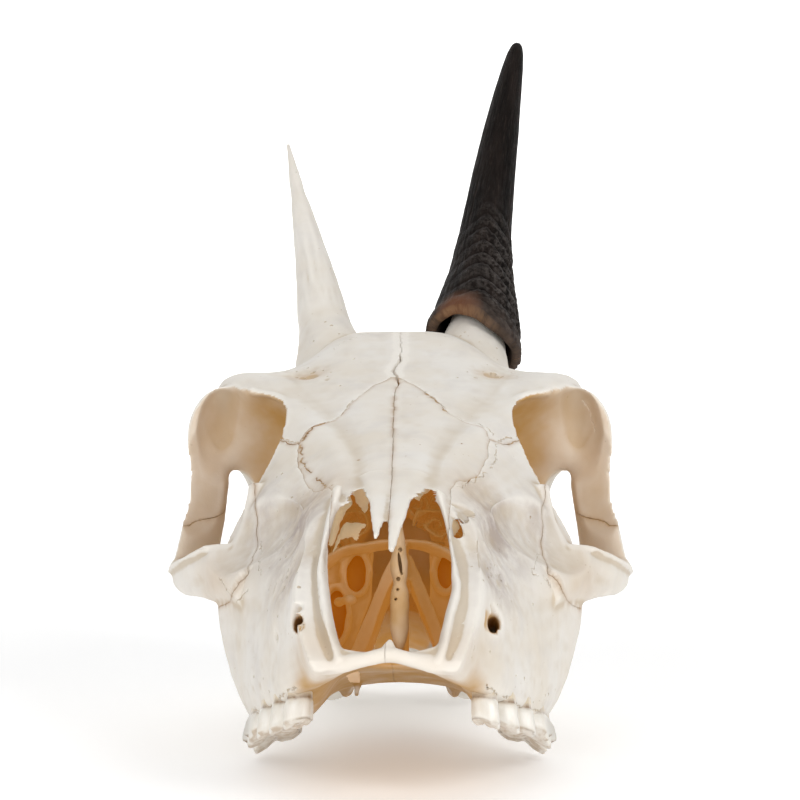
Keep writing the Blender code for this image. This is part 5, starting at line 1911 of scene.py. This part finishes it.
make_horn(HORN)
print("horn material has", len(HORN.node_tree.nodes), "nodes")

# %% [markdown]
# ## Inside the nose
#
# The open nose shows the vomer, an upright plate with a swollen front edge like a spindle, and behind it
# two walls that lean together like a tent. A shelf crosses above them. Beside the tent, thin windows of
# bone glow amber. Every part was measured on the photograph at an assumed depth. They are joined, flowed
# into one skin and roughened, as the outer bone was.

# %% Build the vomer and its walls
SPINDLE = [
    (34.5, 0.45), (31.3, 0.85), (28.6, 1.3), (27.0, 1.45), (25.5, 1.3), (24.2, 1.05), (22.5, 1.38),
    (19.0, 1.5), (16.6, 1.5), (14.6, 1.1), (13.2, 0.3),
]
TENT = {
    "right": [(-0.9, 32.2), (-2.6, 28.7), (-4.4, 24.4), (-6.1, 20.2), (-7.8, 15.9), (-9.4, 12.0),
              (-6.9, 12.0), (-5.4, 15.9), (-4.2, 18.9), (-2.9, 22.9), (-1.5, 26.3), (-0.3, 28.7),
              (0.9, 31.5)],
    "left": [(2.1, 32.2), (3.7, 28.7), (5.4, 24.4), (7.0, 20.2), (8.1, 17.6), (10.2, 12.6), (7.8, 12.6),
             (6.0, 17.2), (5.0, 20.0), (3.4, 23.8), (2.3, 26.8), (1.5, 29.3), (0.9, 31.5)],
}
SHELF = [
    (-13.4, -8, 30.6), (-9.2, -8.5, 33.2), (-4.9, -9, 33.9), (0.2, -9.5, 34.4), (5.3, -9, 33.9),
    (9.6, -8, 31.4),
]
SIDE_WALLS = [
    [(-14.5, 12), (-14.5, 32), (-9, 33.5), (-4.4, 33.9), (-4.6, 26), (-7.2, 19), (-9.5, 12)],
    [(14, 14), (14, 31), (9.6, 32), (5.3, 33.9), (5.4, 26), (7.6, 19.5), (10, 13)],
]
KNOB = (-7.7, -20.0, 23.5)
WINDOW_Y = -4.2
WINDOWS = [
    ((-7.3, 29.9), 1.75, 3.3), ((8.0, 30.2), 1.55, 3.2), ((-10.9, 22.6), 1.9, 4.6),
]


def add_ring(name, centre, half_wide, half_high, radius, home):
    """A raised rim round a window in a wall that faces the front."""
    x, y, z = centre
    path = []
    for k in range(13):
        angle = 2 * math.pi * k / 12
        path.append((x + half_wide * math.cos(angle), y, z + half_high * math.sin(angle)))
    strut(name, path, [radius] * 13, [radius * 1.6] * 13, (0, 0.05, 1), home, 60, 14)


def build_vomer():
    """The vomer, its walls and its shelf as one body."""
    pieces = group("vomer_pieces")
    plate = [(-34, 12), (-34, 24), (-31, 31), (-10, 34), (12, 34), (12, 18), (0, 15.0), (-12, 13.8)]
    vomer = prism("vomer_fine", plate, "X", 0.3, 1.5)
    path = [(1.15 - 0.01 * (z - 24), -34.6, z) for z, _ in SPINDLE]
    strut("spindle", path, [w for _, w in SPINDLE], [1.5] * 10 + [0.5], (1, 0, 0), pieces, 80, 28)
    for outline in TENT.values():
        prism("tent", outline, "Y", -13, 4, pieces)
    strut("shelf", SHELF, [0.9, 0.7, 0.6, 0.5, 0.6, 0.8], [4.0] * 6, (0, 0, 1), pieces, 50)
    blob("knob", KNOB, (1.1, 1.2, 0.9), pieces, segments=20)
    stem = (0.8, 0.7, 0.9)
    strut("knob_stem", [KNOB, (-9.2, -14, 24.0), (-11.0, -6, 24.5)], stem, stem, (1, 0, 0), pieces)
    for (x, z), wide, high in WINDOWS:
        add_ring("window_rim", (x, -6.0, z), wide + 0.5, high + 0.5, 0.6, pieces)
    for outline in SIDE_WALLS:
        prism("side_wall", outline, "Y", -4.6, -3.4, pieces)
    boolean(vomer, "UNION", pieces)
    holes = group("vomer_holes")
    for (x, z), wide, high in WINDOWS:
        blob("window", (x, WINDOW_Y, z), (wide, 6.0, high), holes, (0, 4, 0), 28)
    cut_grooves(vomer, holes)
    skin_over(vomer, 0.3, 3)
    mesh = vomer.data
    points = get_points(mesh) / MM
    push_out(mesh, points, 0.16 * noise(points, 3.5, 81) + 0.08 * noise(points, 1.2, 85))
    dress(mesh)
    pits = group("vomer_pits")
    blob("slot", (1.3, -36.2, 27.2), (0.30, 1.6, 1.9), pits, (0, -8, 0), 20)
    for x, z, size in ((1.35, 29.5, 0.36), (1.0, 24.7, 0.36), (0.9, 23.0, 0.24), (1.6, 25.6, 0.22),
                       (0.6, 21.4, 0.24)):
        blob("pit", (x, -36.1, z), (size, 0.8, size), pits, (0, 0, 0), 14)
    cut_grooves(vomer, pits)
    return vomer


vomer = build_vomer()
print("vomer:", len(vomer.data.polygons), "faces")

# %% [markdown]
# ## Windows, lamellae and scrolls
#
# The thinnest bone of all is in the nose: walls that light shines through, torn sheets that hang from the
# roof, and the scrolls of the turbinates, which warmed the animal's breath. A scroll is a sheet rolled up
# along a path, which is a rule again, so a Geometry Nodes tree rolls it: it sweeps a spiral along a line,
# thickens it and closes it. The torn sheets are flat outlines with ragged edges.

# %% Hang the thin sheets and roll the scrolls
SCROLL_INPUTS = {"Turns": 1.6, "Outer radius": 0.0031, "Inner radius": 0.0006, "Sheet": 0.00035}
SCROLLS = [
    ([(-8.4, 10, 40.0), (-8.0, -4, 39.0), (-7.2, -12, 37.0)], 1.0),
    ([(-4.6, 10, 43.5), (-4.4, -2, 42.0), (-4.0, -9, 40.0)], 0.95),
    ([(-10.6, 10, 36.5), (-10.2, 0, 36.0), (-9.6, -8, 35.0)], 0.8),
    ([(7.2, 10, 39.6), (6.8, -6, 38.8), (6.2, -13, 37.4)], 1.1),
    ([(9.4, 10, 42.6), (8.6, 0, 42.0), (7.6, -7, 41.0)], 0.9),
    ([(3.2, 10, 43.5), (3.0, -2, 42.5), (2.8, -8, 41.0)], 0.8),
    ([(10.6, 10, 37.0), (10.2, 0, 36.4), (9.8, -8, 35.6)], 0.75),
]
SHEETS = [
    ("lamella_wall", -20, [(-10.6, 31.5), (-9.9, 33.6), (-8.6, 36.0), (-7.0, 36.3), (-5.2, 36.2),
                           (-5.9, 35.3), (-6.3, 34.7), (-6.4, 33.9), (-6.9, 33.5),
                           (-7.5, 33.9), (-9.3, 33.4), (-10.2, 31.9)]),
    ("lamella_roof", -15, [(-8.2, 44.6), (-7.2, 45.4), (-5.2, 45.4), (-4.4, 44.0), (-4.2, 41.6), (-4.9, 40.8),
                           (-5.4, 39.0), (-6.2, 39.8), (-7.0, 40.8), (-7.6, 42.4)]),
    ("lamella_left", -17, [(2.2, 45.0), (6.6, 45.2), (6.2, 43.8), (5.4, 42.4), (4.4, 41.6), (3.6, 40.6),
                           (2.6, 41.4), (1.6, 42.2)]),
    ("fin_right", -22, [(-9.4, 42.2), (-8.0, 41.4), (-7.4, 39.4), (-8.6, 37.6), (-9.6, 35.2), (-10.6, 32.4),
                        (-11.2, 32.6), (-10.6, 36.0), (-10.0, 39.6)]),
    ("fin_left", -22, [(9.8, 36.6), (8.9, 35.9), (8.3, 34.9), (8.9, 33.8), (10.0, 34.4), (10.6, 35.6)]),
]


def scroll_tree(material):
    """A sheet of bone rolled up along a line."""
    tree, given, out = new_tree("roll_scroll", SCROLL_INPUTS)
    line = node(tree, "GeometryNodeMeshToCurve", {"Mesh": given["Geometry"]})
    smooth = node(tree, "GeometryNodeResampleCurve", {"Curve": line.outputs["Curve"], "Count": 26})
    spiral = node(tree, "GeometryNodeCurveSpiral", {
        "Resolution": 44, "Rotations": given["Turns"], "Height": 0.0,
        "Start Radius": given["Outer radius"], "End Radius": given["Inner radius"],
    })
    swept = node(tree, "GeometryNodeCurveToMesh", {
        "Curve": smooth.outputs["Curve"], "Profile Curve": spiral.outputs["Curve"],
    })
    thick = node(tree, "GeometryNodeExtrudeMesh", {
        "Mesh": swept.outputs["Mesh"], "Offset Scale": given["Sheet"], "Individual": False,
    })
    back = node(tree, "GeometryNodeFlipFaces", {"Mesh": swept.outputs["Mesh"]})
    both = node(tree, "GeometryNodeJoinGeometry")
    tree.links.new(thick.outputs["Mesh"], both.inputs["Geometry"])
    tree.links.new(back.outputs["Mesh"], both.inputs["Geometry"])
    closed = node(tree, "GeometryNodeMergeByDistance",
                  {"Geometry": both.outputs["Geometry"], "Distance": 0.000002})
    return finish_tree(tree, out, closed.outputs["Geometry"], material)


def roll_scrolls(material):
    """All the scrolls, crumpled a little by noise and joined into one object."""
    tree = scroll_tree(material)
    rolled = []
    for i, (path, size) in enumerate(SCROLLS):
        line = through(path, 12) * MM
        mesh = bpy.data.meshes.new("scroll_line")
        mesh.from_pydata([tuple(p) for p in line], [(k, k + 1) for k in range(11)], [])
        scroll = add_object(f"scroll_{i}", mesh)
        sizes = {"Turns": 1.4 + 0.1 * i, "Outer radius": SCROLL_INPUTS["Outer radius"] * size}
        grow(scroll, tree, SCROLL_INPUTS | sizes)
        rolled.append(scroll)
    scrolls = join(rolled, "turbinates")
    points = get_points(scrolls.data) / MM
    for axis in range(3):
        points[:, axis] += 0.95 * noise(points, 3.0, 90 + axis) + 0.32 * noise(points, 1.0, 95 + axis, 2)
    set_points(scrolls.data, points * MM)
    return scrolls


def hang_sheets(material):
    """The torn sheets, each an outline a third of a millimetre thick that is bent a little."""
    made = []
    for i, (name, depth, outline) in enumerate(SHEETS):
        ragged = through(outline, len(outline) * 5, closed=True)
        rng = np.random.default_rng(200 + i)
        ragged = ragged + rng.uniform(-0.13, 0.13, ragged.shape)
        sheet = prism(name, [tuple(p) for p in ragged], "Y", depth - 0.16, depth + 0.16)
        for v in sheet.data.vertices:
            v.co.y += (0.9 * math.sin(v.co.x / MM * 0.9 + i) + 0.5 * math.sin(v.co.z / MM * 0.8)) * MM
        made.append(sheet)
    return join(made, "lamellae", material)


def fill_windows(material):
    """The thin walls in the windows beside the tent, in a saturated amber with a faint glow: painted light
    for daylight through the thin bone.
    """
    panes = group("panes")
    for (x, z), wide, high in WINDOWS:
        blob("pane", (x, WINDOW_Y + 1.6, z), (wide + 0.7, 0.5, high + 0.7), panes, (0, 4, 0), 24)
    filled = join(list(panes.objects), "amber_windows", material)
    bpy.data.collections.remove(panes)
    return filled


AMBER = plain_material("amber_bone", (0.78, 0.38, 0.012), 0.5)
THIN = plain_material("thin_bone", (0.80, 0.66, 0.42), 0.6)
# Both glow a little: painted light for daylight through the thin windows, and to lift the torn sheets out of
# the shade they hang in.
for material, strength in ((AMBER, 0.03), (THIN, 0.26)):
    colour = tuple(shader_of(material).inputs["Base Color"].default_value)
    feed(shader_of(material), {"Emission Color": colour, "Emission Strength": strength})
scrolls = roll_scrolls(BONE)
lamellae = hang_sheets(THIN)
windows = fill_windows(AMBER)
for piece in (vomer, scrolls):
    paint_bone(piece.data)
# The vomer's glow rises towards its back, which lies in shade, while its amber fades there: painted light
# that lifts the shaded walls and stands for daylight through them.
depths = get_points(vomer.data)[:, 1] / MM
paint(vomer.data, "amber", 0.85 - 0.35 * rise(depths, -33, -20))
paint(vomer.data, "glow", 0.2 + 0.9 * rise(depths, -33, -20))
# The scrolls are amber with a strong painted glow: painted light for daylight through their thin bone.
for title in ("amber", "glow"):
    paint(scrolls.data, title, np.full(len(scrolls.data.vertices), 0.9))
print("scrolls:", len(scrolls.data.polygons), "lamellae:", len(lamellae.data.polygons))

# %% [markdown]
# ## Finishing
#
# Every piece was modelled in the skull's own frame, so now each is turned into the resting pose.

# %% Lay the skull down and finish
def hand_over(piece, slot, *nodes):
    """Puts a finished piece into the resting pose, shades it smooth, hangs it on the root body and hides the
    solids it stands in for.
    """
    rest(piece)
    piece.data.shade_smooth()
    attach(piece, "root")
    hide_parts(*nodes)


for name, bone in bones.items():
    cores = [name.replace("frontal", "horn_core")] if name.startswith("frontal") else []
    hand_over(bone, name, name, *cores)
for side_name, row in teeth.items():
    dress(row.data, ENAMEL)
    hand_over(row, f"maxilla_{side_name}", f"maxilla_{side_name}")
hand_over(sheath, "horn_sheath_left", "horn_sheath_left")
hand_over(vomer, "vomer", "vomer")
hand_over(windows, "vomer", "vomer")
hand_over(scrolls, "ethmoid", "ethmoid")
hand_over(lamellae, "ethmoid", "ethmoid")
looks_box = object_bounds()
for title, box in (("solids", cad_box), ("looks", looks_box)):
    print(title, [[round(value / MM, 1) for value in corner] for corner in box])
